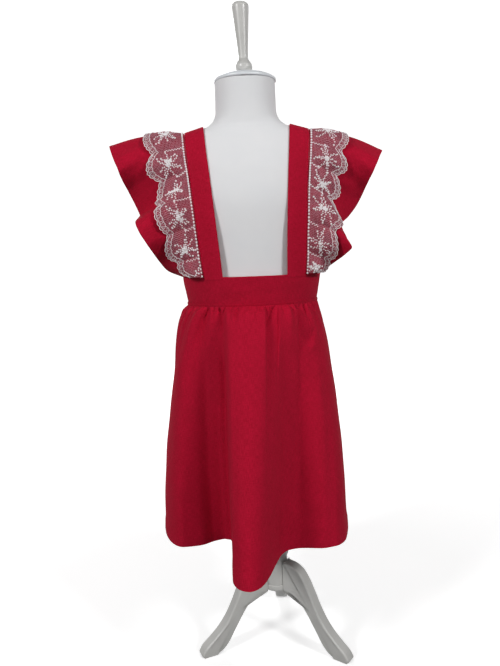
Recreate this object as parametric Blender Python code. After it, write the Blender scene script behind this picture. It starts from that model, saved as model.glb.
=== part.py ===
"""A child's sarafan (pinafore dress) standing on a limbless dress form.

Metres, +Z up, the floor at z = 0, the front of the dress towards -Y. The dress's centre plane is x = 0
until the last step, which moves everything so that the middle of its box stands over the origin.
Left and right are as seen from the front. Cloth is a wall between an outer and an inner grid of points.
"""

import math

import bmesh
import bpy
import numpy as np


def table(columns, *rows):
    """Rows of numbers as one array for each named column."""
    return {name: np.array(values, float) for name, values in zip(columns.split(), zip(*rows))}


# ---------- cloth thicknesses and seams ----------
SEAM_GAP = 0.0003
GATHERED_SEAM_GAP = 0.0006
SKIRT_CLOTH = 0.0014
BAND_CLOTH = 0.0024
STRAP_CLOTH = 0.0020
WING_CLOTH = 0.0012
LACE_CLOTH = 0.0010

# ---------- waistband: reaches from the centre at each height ----------
BAND = table(
    "height side front back",
    (0.599, 0.1070, 0.078, 0.078),
    (0.612, 0.1090, 0.080, 0.079),
    (0.629, 0.1120, 0.083, 0.080),
    (0.645, 0.1150, 0.086, 0.081),
)
BAND_BOTTOM = BAND["height"][0]
BAND_TOP = BAND["height"][-1]
BAND_ROWS = 4
BAND_COLUMNS = 14

# ---------- skirt: mean reaches at each drop below the band ----------
SKIRT = table(
    "drop left right front back",
    (0.000, 0.1070, 0.1070, 0.078, 0.078),
    (0.013, 0.1148, 0.1115, 0.083, 0.084),
    (0.030, 0.1220, 0.1165, 0.087, 0.089),
    (0.065, 0.1290, 0.1225, 0.092, 0.096),
    (0.105, 0.1345, 0.1280, 0.095, 0.102),
    (0.150, 0.1420, 0.1340, 0.098, 0.108),
    (0.200, 0.1495, 0.1395, 0.101, 0.114),
    (0.250, 0.1560, 0.1435, 0.103, 0.119),
    (0.310, 0.1615, 0.1470, 0.105, 0.124),
    (0.386, 0.1650, 0.1495, 0.106, 0.128),
)
SKIRT_LENGTH = SKIRT["drop"][-1]
# The hem's folds: where each point of the band (degrees from the centre front) falls at the hem.
HEM = table(
    "band_angle x y height",
    (-180, -0.012, 0.118, 0.213),
    (-166, -0.040, 0.150, 0.213),
    (-152, -0.070, 0.143, 0.214),
    (-140, -0.092, 0.108, 0.214),
    (-128, -0.122, 0.104, 0.213),
    (-115, -0.148, 0.090, 0.214),
    (-104, -0.158, 0.058, 0.213),
    (-90, -0.1650, 0.000, 0.213),
    (-80, -0.160, -0.032, 0.213),
    (-70, -0.144, -0.068, 0.213),
    (-60, -0.122, -0.087, 0.213),
    (-50, -0.099, -0.084, 0.213),
    (-40, -0.076, -0.070, 0.213),
    (-31, -0.060, -0.064, 0.213),
    (-25, -0.050, -0.074, 0.212),
    (-21, -0.043, -0.130, 0.210),
    (-18, -0.041, -0.180, 0.206),
    (-12, -0.032, -0.206, 0.204),
    (-4, -0.018, -0.213, 0.204),
    (5, -0.004, -0.205, 0.205),
    (13, 0.009, -0.182, 0.208),
    (20, 0.020, -0.152, 0.212),
    (27, 0.030, -0.125, 0.213),
    (35, 0.043, -0.110, 0.213),
    (45, 0.063, -0.105, 0.213),
    (57, 0.093, -0.106, 0.213),
    (69, 0.118, -0.102, 0.213),
    (79, 0.137, -0.079, 0.213),
    (90, 0.1495, 0.000, 0.213),
    (104, 0.146, 0.052, 0.214),
    (117, 0.133, 0.088, 0.213),
    (130, 0.106, 0.118, 0.213),
    (141, 0.078, 0.106, 0.214),
    (152, 0.058, 0.112, 0.213),
    (164, 0.032, 0.146, 0.213),
    (173, 0.008, 0.140, 0.214),
    (180, -0.012, 0.118, 0.213),
)
FOLD_GROWTH = 0.85
GATHER_COUNT = 26
GATHER_DEPTH = 0.0024
GATHER_START = 0.012
GATHER_FADE = 0.070
GATHER_UNEVEN = table("waves size start", (3, 1.1, 0.4), (7, 0.7, 1.0))
SKIRT_ROWS = 9
ROW_CROWDING = 1.5
SURFACE_STEP = 0.0005
SKIRT_COLUMNS = {"front": 62, "back_left": 29, "back_right": 29}

# ---------- dress form: reaches at each height ----------
FORM = table(
    "height side front back",
    (0.490, 0.1000, 0.070, 0.078),
    (0.530, 0.1010, 0.071, 0.078),
    (0.570, 0.0985, 0.071, 0.073),
    (0.600, 0.0970, 0.071, 0.069),
    (0.645, 0.1000, 0.074, 0.071),
    (0.700, 0.1080, 0.081, 0.080),
    (0.760, 0.1180, 0.087, 0.088),
    (0.805, 0.1250, 0.081, 0.087),
    (0.835, 0.1310, 0.070, 0.078),
    (0.850, 0.1300, 0.062, 0.070),
    (0.860, 0.1230, 0.056, 0.063),
    (0.868, 0.1080, 0.051, 0.057),
    (0.875, 0.0850, 0.047, 0.052),
    (0.882, 0.0640, 0.045, 0.049),
    (0.892, 0.0530, 0.045, 0.047),
    (0.905, 0.0490, 0.045, 0.046),
    (0.9497, 0.0480, 0.047, 0.047),
)
FORM_BOTTOM = FORM["height"][0]
NECK_TOP = FORM["height"][-1]
SHOULDER_FROM = 0.830
NECK_FROM = 0.905
BODY_RINGS = 10
SHOULDER_RINGS = 13
FORM_COLUMNS = 36
FORM_SQUARENESS = 2.2
CHEST_HEIGHT = 0.770
FARTHEST_SKIN = 0.30
HALVINGS = 40

# ---------- straps ----------
STRAP_WIDTH = 0.030
STRAP_CLEARANCE = 0.0012
STRAP_STATIONS = 40
STRAP_LOW_ANGLE = math.radians(-52)
STRAP_SETTLE = 0.30
STRAP_STEP = 0.001
STRAP_SIDE_STEP = 0.02
STRAPS = table(
    "side front_band shoulder back_band bend",
    (-1, 0.0595, 0.0850, 0.050, 0.95),
    (1, 0.0705, 0.0850, 0.050, 1.50),
)

# ---------- wings: the free edge, from the shoulder (0) to the waistband (1) ----------
WINGS = {
    "left": table(
        "along reach forward height",
        (0.00, 0.2232, 0.000, 0.862),
        (0.04, 0.2180, 0.026, 0.854),
        (0.09, 0.2097, 0.048, 0.837),
        (0.14, 0.2034, 0.061, 0.825),
        (0.20, 0.1988, 0.062, 0.813),
        (0.27, 0.1961, 0.050, 0.800),
        (0.35, 0.1905, 0.036, 0.783),
        (0.43, 0.1833, 0.030, 0.765),
        (0.49, 0.1769, 0.036, 0.748),
        (0.53, 0.1747, 0.058, 0.741),
        (0.58, 0.1736, 0.084, 0.733),
        (0.65, 0.1649, 0.097, 0.715),
        (0.72, 0.1560, 0.093, 0.699),
        (0.78, 0.1506, 0.074, 0.686),
        (0.85, 0.1439, 0.050, 0.671),
        (0.92, 0.1349, 0.030, 0.657),
        (1.00, 0.1147, 0.012, 0.646),
    ),
    "right": table(
        "along reach forward height",
        (0.00, 0.2198, 0.000, 0.839),
        (0.03, 0.2155, 0.020, 0.834),
        (0.07, 0.2067, 0.042, 0.823),
        (0.12, 0.1998, 0.057, 0.812),
        (0.18, 0.1946, 0.058, 0.801),
        (0.26, 0.1885, 0.046, 0.786),
        (0.34, 0.1829, 0.032, 0.770),
        (0.43, 0.1742, 0.026, 0.752),
        (0.50, 0.1593, 0.028, 0.733),
        (0.57, 0.1448, 0.038, 0.719),
        (0.62, 0.1444, 0.060, 0.710),
        (0.68, 0.1461, 0.085, 0.698),
        (0.74, 0.1530, 0.092, 0.684),
        (0.80, 0.1459, 0.078, 0.674),
        (0.87, 0.1325, 0.052, 0.662),
        (0.95, 0.1175, 0.028, 0.650),
        (1.00, 0.1127, 0.012, 0.646),
    ),
}
WING_BOW = 0.007
WING_SWEEP = 1.8
WING_BOW_OUT = 0.5
WING_START = 0.0008
WING_STATIONS = 53

# ---------- lace: its width, from the shoulder (0) to the waistband (1) ----------
LACE = table(
    "along width",
    (0.00, 0.062),
    (0.55, 0.062),
    (0.72, 0.056),
    (0.87, 0.047),
    (0.95, 0.036),
    (1.00, 0.018),
)
LACE_START = 0.0014
LACE_PITCH = 0.185
LACE_FIRST_PEAK = 0.13
SCALLOP_DEPTH = 0.15
LACE_MOST = 0.85

# ---------- stand ----------
STAND_X = 0.0245
LEAN = 0.030
LEAN_FROM = 0.150
COLUMN = table(
    "height radius",
    (0.1028, 0.0225),
    (0.1400, 0.0215),
    (0.1480, 0.0205),
    (0.1585, 0.0240),
    (0.1700, 0.0240),
    (0.2000, 0.0190),
    (0.2400, 0.0155),
    (0.4897, 0.0140),
)
DISC = table(
    "height radius",
    (0.0910, 0.0190),
    (0.0925, 0.0220),
    (0.0960, 0.0232),
    (0.1025, 0.0232),
)
NECK_CAP = table(
    "height radius",
    (0.9500, 0.0492),
    (0.9520, 0.0500),
    (0.9545, 0.0497),
    (0.9580, 0.0440),
    (0.9610, 0.0330),
    (0.9630, 0.0220),
    (0.9640, 0.0120),
)
FINIAL = table(
    "height radius",
    (0.9643, 0.0100),
    (0.9670, 0.0115),
    (0.9710, 0.0131),
    (0.9750, 0.0133),
    (0.9800, 0.0118),
    (0.9840, 0.0092),
    (0.9865, 0.0078),
    (0.9900, 0.0077),
    (1.0640, 0.0134),
    (1.0665, 0.0135),
    (1.0685, 0.0125),
    (1.0705, 0.0090),
    (1.0720, 0.0040),
)
TURNED_COLUMNS = 24

# ---------- legs: a board's outline, out from the column's axis ----------
LEG_THICKNESS = 0.021
LEG_CHAMFER = 0.0025
LEG_ROOT_RADIUS = 0.0235
LEG_TOP = table(
    "out height",
    (0.0000, 0.146),
    (0.0360, 0.143),
    (0.0520, 0.136),
    (0.0642, 0.121),
    (0.0746, 0.101),
    (0.0848, 0.079),
    (0.0962, 0.059),
    (0.1095, 0.042),
    (0.1255, 0.027),
    (0.1410, 0.014),
    (0.1465, 0.005),
)
LEG_UNDER = table(
    "out height",
    (0.0000, 0.0905),
    (0.0340, 0.0890),
    (0.0465, 0.0835),
    (0.0585, 0.074),
    (0.0685, 0.061),
    (0.0775, 0.047),
    (0.0865, 0.033),
    (0.0950, 0.019),
    (0.1065, 0.0065),
    (0.1185, 0.000),
)
LEG_TOE = 0.1430
LEG_BEARINGS = {"left": 203.5, "right": 324.0, "back": 84.0}
LEG_STATIONS = 15
LEG_LAYERS = 5

# ---------- colours ----------
RED_CLOTH = ((0.37, 0.012, 0.028), 0.85)
WHITE_LACE = ((0.80, 0.74, 0.74), 0.90)
FORM_COVER = ((0.80, 0.80, 0.80), 0.80)
WHITE_PAINT = ((0.70, 0.71, 0.70), 0.35)


def smooth(xs, ys, x):
    """Monotone cubic through the rows (xs, ys): no swing past a row."""
    x = np.asarray(x, float)
    step = np.diff(xs)
    slope = np.diff(ys) / step
    product = slope[:-1] * slope[1:]
    total = np.where(product > 0, slope[:-1] + slope[1:], 1.0)
    inner = np.where(product > 0, 2 * product / total, 0.0)
    tangent = np.concatenate([slope[:1], inner, slope[-1:]])
    i = np.clip(np.searchsorted(xs, x, side="right") - 1, 0, len(step) - 1)
    t = np.clip((x - xs[i]) / step[i], 0, 1)
    held = ys[i] + (ys[i + 1] - ys[i]) * t * t * (3 - 2 * t)
    swing = step[i] * t * (1 - t) * (tangent[i] * (1 - t) - tangent[i + 1] * t)
    return held + swing


def ease(t):
    """0 to 1 with level ends."""
    t = np.clip(t, 0, 1)
    return t * t * (3 - 2 * t)


def around(angle, left, right, front, back):
    """A point of an oval with four reaches; the angle is counted from the front, towards +X."""
    x = np.where(np.sin(angle) < 0, left, right) * np.sin(angle)
    y = -np.where(np.cos(angle) > 0, front, back) * np.cos(angle)
    return x, y


def normals(points):
    """Unit normals of a grid of points, from the two directions of its rows and columns."""
    down = np.gradient(points, axis=0)
    across = np.gradient(points, axis=1)
    n = np.cross(across, down)
    return n / np.linalg.norm(n, axis=2, keepdims=True)


# ---------- meshes ----------
def new_object(name, vertices, faces, look):
    colour, roughness = look
    mesh = bpy.data.meshes.new(name)
    mesh.from_pydata(np.asarray(vertices, float).tolist(), [], [list(map(int, f)) for f in faces])
    made = bmesh.new()
    made.from_mesh(mesh)
    bmesh.ops.recalc_face_normals(made, faces=made.faces)
    if made.calc_volume(signed=True) < 0:
        bmesh.ops.reverse_faces(made, faces=made.faces)
    made.to_mesh(mesh)
    made.free()
    mesh.shade_smooth()
    mesh.set_sharp_from_angle(angle=math.radians(40))
    material = bpy.data.materials.new(name)
    material.use_nodes = True
    shader = material.node_tree.nodes["Principled BSDF"]
    shader.inputs["Base Color"].default_value = (*colour, 1)
    shader.inputs["Roughness"].default_value = roughness
    shader.inputs["Metallic"].default_value = 0
    mesh.materials.append(material)
    made_object = bpy.data.objects.new(name, mesh)
    bpy.context.collection.objects.link(made_object)
    return made_object


def strip(a, b):
    """Triangles between two rows of vertex numbers of the same length."""
    a0, a1, b0, b1 = a[:-1], a[1:], b[:-1], b[1:]
    return np.concatenate([np.stack([a0, b0, b1], 1), np.stack([a0, b1, a1], 1)])


def wall(name, outer, inner, look):
    """A sheet of cloth: two grids of the same shape, and the rim that closes them."""
    rows, columns = outer.shape[:2]
    index = np.arange(rows * columns).reshape(rows, columns)
    outside = [strip(index[r], index[r + 1]) for r in range(rows - 1)]
    inside = [faces[:, ::-1] + rows * columns for faces in outside]
    border = np.concatenate([index[0, :-1], index[:-1, -1], index[-1, :0:-1], index[:0:-1, 0]])
    border = np.append(border, border[0])
    rim = strip(border, border + rows * columns)
    vertices = np.concatenate([outer.reshape(-1, 3), inner.reshape(-1, 3)])
    return new_object(name, vertices, np.concatenate(outside + inside + [rim]), look)


def loft(name, rings, look):
    """A solid through closed rings of points, with flat ends."""
    count, columns = rings.shape[:2]
    index = np.arange(count * columns).reshape(count, columns)
    closed = np.concatenate([index, index[:, :1]], axis=1)
    sides = np.concatenate([strip(closed[r], closed[r + 1]) for r in range(count - 1)])
    faces = [*sides.tolist(), index[0].tolist(), index[-1].tolist()]
    return new_object(name, rings.reshape(-1, 3), faces, look)


def lean_x(height):
    """The stand's axis: upright in the legs, leaning a little to -X above them."""
    return STAND_X - LEAN * np.maximum(0, height - LEAN_FROM)


def turned(name, profile, look):
    """A turned piece on the stand's axis, through the rows of its profile."""
    angle = np.arange(TURNED_COLUMNS) * 2 * math.pi / TURNED_COLUMNS
    height = profile["height"][:, None]
    radius = profile["radius"][:, None]
    x = lean_x(height) + radius * np.cos(angle)
    y = radius * np.sin(angle)
    z = height + 0 * angle
    return loft(name, np.stack([x, y, z], axis=2), look)


# ---------- cloth ----------
def hem_stations():
    """How far round the hem each row of its table lies, as a fraction of the whole."""
    step = np.hypot(np.diff(HEM["x"]), np.diff(HEM["y"]))
    station = np.concatenate([[0], np.cumsum(step)])
    return station / station[-1]


def round_the_hem(key, u, turn=0.0):
    """A column of the hem's table at u, smooth across the centre back, where it grows by turn."""
    station = hem_stations()
    value = HEM[key]
    stations = np.concatenate([station[-3:-1] - 1, station, station[1:3] + 1])
    values = np.concatenate([value[-3:-1] - turn, value, value[1:3] + turn])
    return smooth(stations, values, u)


def skirt_surface(u, v):
    """The skirt's outer face: u runs round the hem from the centre back, v from the band to the hem."""
    angle = np.radians(round_the_hem("band_angle", u, 360.0))
    drop = v * SKIRT_LENGTH
    reaches = ("left", "right", "front", "back")
    x, y = around(angle, *[smooth(SKIRT["drop"], SKIRT[key], drop) for key in reaches])
    hem_x, hem_y = around(angle, *[SKIRT[key][-1] for key in reaches])
    growth = v**FOLD_GROWTH
    x = x + growth * (round_the_hem("x", u) - hem_x)
    y = y + growth * (round_the_hem("y", u) - hem_y)
    waves, size, start = GATHER_UNEVEN.values()
    uneven = (size * np.sin(waves * angle[..., None] + start)).sum(axis=-1)
    ripple = np.cos(GATHER_COUNT * angle + uneven)
    depth = GATHER_DEPTH * ease(drop / GATHER_START) * np.exp(-((drop / GATHER_FADE) ** 2))
    x = x + depth * ripple * np.sin(angle)
    y = y - depth * ripple * np.cos(angle)
    top = BAND_BOTTOM - SEAM_GAP
    z = top - v * (top - round_the_hem("height", u))
    return np.stack([x, y, z], axis=-1)


def skirt_normals(u, v):
    """Unit normals of the skirt's outer face, from small steps along u and v."""
    step = SURFACE_STEP
    along = skirt_surface(u + step, v) - skirt_surface(u - step, v)
    down = skirt_surface(u, np.minimum(v + step, 1)) - skirt_surface(u, np.maximum(v - step, 0))
    n = np.cross(along, down)
    return n / np.linalg.norm(n, axis=2, keepdims=True)


def seamed(outer, inner, gap):
    """Draws a panel's two end columns in by half the gap of a seam."""
    for end, beside in ((0, 1), (-1, -2)):
        inward = outer[:, beside] - outer[:, end]
        inward *= gap / 2 / np.linalg.norm(inward, axis=1, keepdims=True)
        outer[:, end] += inward
        inner[:, end] += inward
    return outer, inner


def skirt_panel(name, start_angle, end_angle, columns):
    """One panel between two seams, with the rows closer together under the band."""
    start, end = np.interp([start_angle, end_angle], HEM["band_angle"], hem_stations())
    drops = np.linspace(0, 1, SKIRT_ROWS) ** ROW_CROWDING
    v, u = np.meshgrid(drops, np.linspace(start, end, columns), indexing="ij")
    outer = skirt_surface(u, v)
    inner = outer - SKIRT_CLOTH * skirt_normals(u, v)
    inner[0, :, 2] = outer[0, :, 2]
    wall(name, *seamed(outer, inner, GATHERED_SEAM_GAP), RED_CLOTH)


def band_outline(angle, height):
    side, front, back = (smooth(BAND["height"], BAND[key], height) for key in ("side", "front", "back"))
    return around(angle, side, side, front, back)


def band_piece(name, start_angle, end_angle, columns):
    heights = np.linspace(BAND_TOP, BAND_BOTTOM, BAND_ROWS)
    angles = np.radians(np.linspace(start_angle, end_angle, columns))
    height, angle = np.meshgrid(heights, angles, indexing="ij")
    outer = np.stack([*band_outline(angle, height), height], axis=2)
    inner = outer - BAND_CLOTH * np.stack([np.sin(angle), -np.cos(angle), 0 * angle], axis=2)
    wall(name, *seamed(outer, inner, SEAM_GAP), RED_CLOTH)


def form_reach(x, angle):
    """Distance from the chest's centre line to the form's skin, in the plane of x, along the angle."""
    near = np.zeros(np.broadcast(x, angle).shape)
    far = near + FARTHEST_SKIN
    for _ in range(HALVINGS):
        middle = (near + far) / 2
        y = -middle * np.cos(angle)
        z = CHEST_HEIGHT + middle * np.sin(angle)
        side, front, back = (smooth(FORM["height"], FORM[key], z) for key in ("side", "front", "back"))
        depth = np.where(y < 0, front, back)
        inside = np.abs(x / side) ** FORM_SQUARENESS + np.abs(y / depth) ** FORM_SQUARENESS < 1
        near = np.where(inside, middle, near)
        far = np.where(inside, far, middle)
    return near


def strap_surface(which, along, across):
    """The face of a strap that lies on the form: along runs 0 to 1 from the front band over the shoulder
    to the back band, across runs -1 to 1 from the neck side to the arm side."""
    side = STRAPS["side"][which]
    low = STRAPS["front_band"][which]
    high = STRAPS["shoulder"][which]
    back = STRAPS["back_band"][which]
    end_centre = np.where(along < 0.5, low, back)
    centre = high - (high - end_centre) * (1 - (1 - np.abs(2 * along - 1)) ** STRAPS["bend"][which])
    x = side * (centre + across * STRAP_WIDTH / 2)
    angle = STRAP_LOW_ANGLE + along * (math.pi - 2 * STRAP_LOW_ANGLE)
    reach = form_reach(x, angle) + STRAP_CLEARANCE
    y = -reach * np.cos(angle)
    z = CHEST_HEIGHT + reach * np.sin(angle)
    for end, front in ((0.0, True), (1.0, False)):
        start_angle = STRAP_LOW_ANGLE if front else math.pi - STRAP_LOW_ANGLE
        end_centre = low if front else back
        end_x = side * (end_centre + across * STRAP_WIDTH / 2)
        end_reach = form_reach(end_x, start_angle + 0 * x) + STRAP_CLEARANCE
        depth = BAND["front"][-1] if front else BAND["back"][-1]
        on_band = (depth - BAND_CLOTH) * np.sqrt(1 - (end_x / (BAND["side"][-1] - BAND_CLOTH)) ** 2)
        target_y = -on_band if front else on_band
        share = 1 - ease(np.abs(along - end) / STRAP_SETTLE)
        y = y + share * (target_y + end_reach * np.cos(start_angle))
        z = z + share * (BAND_TOP + SEAM_GAP - CHEST_HEIGHT - end_reach * np.sin(start_angle))
    return np.stack([x, y, z], axis=-1)


def outward(points, side):
    """Unit normals that point away from the form; a grid on the other side is wound the other way."""
    return normals(points) * side


def strap(name, which):
    side = STRAPS["side"][which]
    along, across = np.meshgrid(np.linspace(0, 1, STRAP_STATIONS), np.linspace(-1, 1, 3), indexing="ij")
    inner = strap_surface(which, along, across)
    outer = inner + STRAP_CLOTH * outward(inner, side)
    outer[0, :, 2] = outer[-1, :, 2] = BAND_TOP + SEAM_GAP
    wall(name, outer, inner, RED_CLOTH)


def strap_edge(which, along):
    """The line where a wing starts: beside the strap's arm-side edge, halfway through its cloth."""
    edge = 1 + 0 * along
    point = strap_surface(which, along, edge)
    across = point - strap_surface(which, along, edge - STRAP_SIDE_STEP)
    ahead = strap_surface(which, np.minimum(along + STRAP_STEP, 1), edge)
    forward = ahead - strap_surface(which, np.maximum(along - STRAP_STEP, 0), edge)
    across /= np.linalg.norm(across, axis=-1, keepdims=True)
    face = STRAPS["side"][which] * np.cross(across, forward)
    face /= np.linalg.norm(face, axis=-1, keepdims=True)
    return point + WING_START * across + STRAP_CLOTH / 2 * face


def wing_surface(which, side_name, along, across):
    """The middle of a wing's cloth: along runs -1 to 1 from the front band over the shoulder to the back
    band, across runs from the strap's edge (0) to the free edge (1), bowed a little outwards; its depth
    changes late, most of it beside the free edge."""
    side = STRAPS["side"][which]
    edge = WINGS[side_name]
    far = np.abs(along)
    reach, forward, height = (smooth(edge["along"], edge[key], far) for key in ("reach", "forward", "height"))
    free = np.stack([side * reach, np.sign(along) * forward, height], axis=-1)
    seam = strap_edge(which, (along + 1) / 2)
    turn = along * math.pi / 2
    out = np.stack([WING_BOW_OUT * side + 0 * turn, np.sin(turn), np.cos(turn)], axis=-1)
    out = out / np.linalg.norm(out, axis=-1, keepdims=True)
    bow = WING_BOW * np.sin(math.pi * across)
    share = np.stack([across, across**WING_SWEEP, across], axis=-1)
    return seam * (1 - share) + free * share + out * bow[..., None]


def wing_layer(points, facing, offset):
    """Points of the wing moved out along its normals, kept above the waistband."""
    moved = points + offset * facing
    moved[..., 2] = np.maximum(moved[..., 2], BAND_TOP + SEAM_GAP)
    return moved


def lace_reach(along):
    """The lace's width at each station, with its scallops."""
    far = np.abs(along)
    scallop = 0.5 - 0.5 * np.cos(2 * math.pi * (far - LACE_FIRST_PEAK) / LACE_PITCH)
    return smooth(LACE["along"], LACE["width"], far) * (1 - SCALLOP_DEPTH * scallop)


def wing_and_lace(side_name, which):
    """A wing whose grid has columns at the lace's two edges, and the lace: the same points, moved out."""
    side = STRAPS["side"][which]
    stations = np.linspace(-1, 1, WING_STATIONS)
    ends = wing_surface(which, side_name, stations[:, None] + [0, 0], [0, 1] + 0 * stations[:, None])
    width = np.linalg.norm(ends[:, 1] - ends[:, 0], axis=1)
    first = LACE_START / width
    last = np.minimum(lace_reach(stations) / width, LACE_MOST)
    columns = [0 * width, first, (first + last) / 2, last, (last + 1) / 2, 1 + 0 * width]
    across = np.stack(columns, axis=1)
    middle = wing_surface(which, side_name, stations[:, None] + 0 * across, across)
    facing = outward(middle, side)
    half = WING_CLOTH / 2
    wall(f"wing_{side_name}", wing_layer(middle, facing, half), wing_layer(middle, facing, -half), RED_CLOTH)
    under = slice(1, 4)
    low = half + SEAM_GAP
    lower = wing_layer(middle[:, under], facing[:, under], low)
    upper = wing_layer(middle[:, under], facing[:, under], low + LACE_CLOTH)
    wall(f"lace_{side_name}", upper, lower, WHITE_LACE)


# ---------- form and stand ----------
def form_torso():
    body = np.linspace(FORM_BOTTOM, SHOULDER_FROM, BODY_RINGS)
    shoulders = np.linspace(SHOULDER_FROM, NECK_FROM, SHOULDER_RINGS)
    heights = np.concatenate([body, shoulders[1:], [NECK_TOP]])
    angles = np.arange(FORM_COLUMNS) * 2 * math.pi / FORM_COLUMNS
    height, angle = np.meshgrid(heights, angles, indexing="ij")
    side, front, back = (smooth(FORM["height"], FORM[key], height) for key in ("side", "front", "back"))
    depth = np.where(np.cos(angle) > 0, front, back)
    power = 2 / FORM_SQUARENESS
    x = side * np.sign(np.sin(angle)) * np.abs(np.sin(angle)) ** power
    y = -depth * np.sign(np.cos(angle)) * np.abs(np.cos(angle)) ** power
    loft("form_torso", np.stack([x, y, height], axis=2), FORM_COVER)


def leg_outline():
    """The board's outline: along its top to the toe, then back along the sole and its underside."""
    t = np.linspace(0, 1, LEG_STATIONS)

    def along(curve):
        step = np.hypot(np.diff(curve["out"]), np.diff(curve["height"]))
        station = np.concatenate([[0], np.cumsum(step)]) / step.sum()
        return np.stack([smooth(station, curve["out"], t), smooth(station, curve["height"], t)], axis=1)

    top = along(LEG_TOP)
    under = along(LEG_UNDER)
    toe = np.array([[LEG_TOE, 0.0]])
    return np.concatenate([top, toe, under[::-1]])


def leg(name, bearing):
    """A board leg: its outline in layers, drawn in at the two faces, its root hollowed for the column."""
    outline = leg_outline()
    tangent = np.roll(outline, -1, axis=0) - np.roll(outline, 1, axis=0)
    inward = np.stack([tangent[:, 1], -tangent[:, 0]], axis=1)
    inward /= np.linalg.norm(inward, axis=1, keepdims=True)
    half = LEG_THICKNESS / 2
    bearing_angle = math.radians(bearing)
    rings = []
    flat = np.linspace(-1, 1, LEG_LAYERS) * (half - LEG_CHAMFER)
    for layer in (-half, *flat, half):
        shape = outline + inward * LEG_CHAMFER * (abs(layer) == half)
        shape[:, 1] = np.where(outline[:, 1] <= 0, 0, np.maximum(shape[:, 1], 0))
        root = math.sqrt((LEG_ROOT_RADIUS + SEAM_GAP) ** 2 - layer**2)
        shape[:, 0] = np.maximum(shape[:, 0], root)
        x = STAND_X + shape[:, 0] * math.cos(bearing_angle) - layer * math.sin(bearing_angle)
        y = shape[:, 0] * math.sin(bearing_angle) + layer * math.cos(bearing_angle)
        rings.append(np.stack([x, y, shape[:, 1]], axis=1))
    loft(name, np.stack(rings), WHITE_PAINT)


def stand_over_origin():
    """Parents every piece to one empty, placed so that the middle of the box stands over the origin."""
    pieces = [piece for piece in bpy.data.objects if piece.type == "MESH"]
    corners = np.concatenate([[tuple(v.co) for v in piece.data.vertices] for piece in pieces])
    middle = (corners.min(axis=0) + corners.max(axis=0)) / 2
    holder = bpy.data.objects.new("dress_on_form", None)
    bpy.context.collection.objects.link(holder)
    for piece in pieces:
        piece.parent = holder
    holder.location = (-middle[0], -middle[1], 0)


def build():
    for old in list(bpy.data.objects):
        bpy.data.objects.remove(old)
    skirt_panel("skirt_front", -90, 90, SKIRT_COLUMNS["front"])
    skirt_panel("skirt_back_left", -180, -90, SKIRT_COLUMNS["back_left"])
    skirt_panel("skirt_back_right", 90, 180, SKIRT_COLUMNS["back_right"])
    band_piece("band_front", -90, 90, 2 * BAND_COLUMNS - 1)
    band_piece("band_back_left", -180, -90, BAND_COLUMNS)
    band_piece("band_back_right", 90, 180, BAND_COLUMNS)
    for which, side_name in enumerate(("left", "right")):
        strap(f"strap_{side_name}", which)
        wing_and_lace(side_name, which)
    form_torso()
    turned("form_neck_cap", NECK_CAP, WHITE_PAINT)
    turned("form_finial", FINIAL, WHITE_PAINT)
    turned("stand_column", COLUMN, WHITE_PAINT)
    turned("stand_disc", DISC, WHITE_PAINT)
    for leg_name, bearing in LEG_BEARINGS.items():
        leg(f"stand_leg_{leg_name}", bearing)
    stand_over_origin()


build()
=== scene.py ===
"""A child's sarafan with lace-trimmed shoulder wings, standing on a limbless dress form.

Metres, +Z up, the front of the dress towards -Y, left and right as seen from the front. The cloth is
worked out in the dress's own frame, whose centre plane is x = 0, and moved to its place at the end.
Every surface is a function of two parameters on a grid, or a profile carried along a path.
"""
import math

import bpy
import numpy as np
from mathutils import Matrix, Vector


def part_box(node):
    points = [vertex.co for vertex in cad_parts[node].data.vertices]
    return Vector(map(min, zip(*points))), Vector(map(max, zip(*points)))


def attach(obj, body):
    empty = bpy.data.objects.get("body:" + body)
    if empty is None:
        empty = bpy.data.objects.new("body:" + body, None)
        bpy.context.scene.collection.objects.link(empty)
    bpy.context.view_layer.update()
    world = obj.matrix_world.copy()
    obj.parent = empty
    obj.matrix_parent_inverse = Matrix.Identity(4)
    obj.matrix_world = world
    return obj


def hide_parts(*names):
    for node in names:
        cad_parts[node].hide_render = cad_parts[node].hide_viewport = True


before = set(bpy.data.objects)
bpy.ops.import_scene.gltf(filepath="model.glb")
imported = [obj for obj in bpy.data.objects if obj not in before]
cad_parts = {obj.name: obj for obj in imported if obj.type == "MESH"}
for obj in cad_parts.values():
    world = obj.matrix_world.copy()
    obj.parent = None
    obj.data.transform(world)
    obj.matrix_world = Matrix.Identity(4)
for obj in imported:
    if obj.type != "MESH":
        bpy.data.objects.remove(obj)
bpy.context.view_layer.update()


def table(columns, *rows):
    """Rows of numbers as one array for each named column."""
    return {name: np.array(values, float) for name, values in zip(columns.split(), zip(*rows))}


# ---------- soft unevenness: each kind's seed, how many sines, their lowest and highest pace ----------
WAVES = {
    "skirt": (5, 5, 8, 30),
    "pucker_place": (8, 4, 20, 70),
    "pucker_slant": (7, 3, 20, 60),
    "pucker_size": (9, 4, 30, 110),
    "pucker_length": (6, 3, 40, 90),
    "band_drag": (21, 6, 30, 95),
    "band": (22, 5, 3, 9),
    "strap": (31, 4, 8, 30),
    "wing": (41, 4, 6, 16),
    "lace": (51, 4, 25, 60),
}

# ---------- waistband: reaches from the centre at each height above the floor ----------
BAND = table(
    "height side front back",
    (0.599, 0.1070, 0.078, 0.078),
    (0.612, 0.1090, 0.080, 0.079),
    (0.629, 0.1120, 0.083, 0.080),
    (0.645, 0.1150, 0.086, 0.081),
)
BAND_BOTTOM, BAND_TOP = BAND["height"][[0, -1]]
BAND_CLOTH = 0.0022
BAND_CROWN = 0.0005
BAND_FACE_POINTS = 26
BAND_DRAG = 0.00050
BAND_SOFTNESS = 0.0004
BAND_WAVES_UP = 40  # radians round the band that a metre of height counts as
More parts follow.
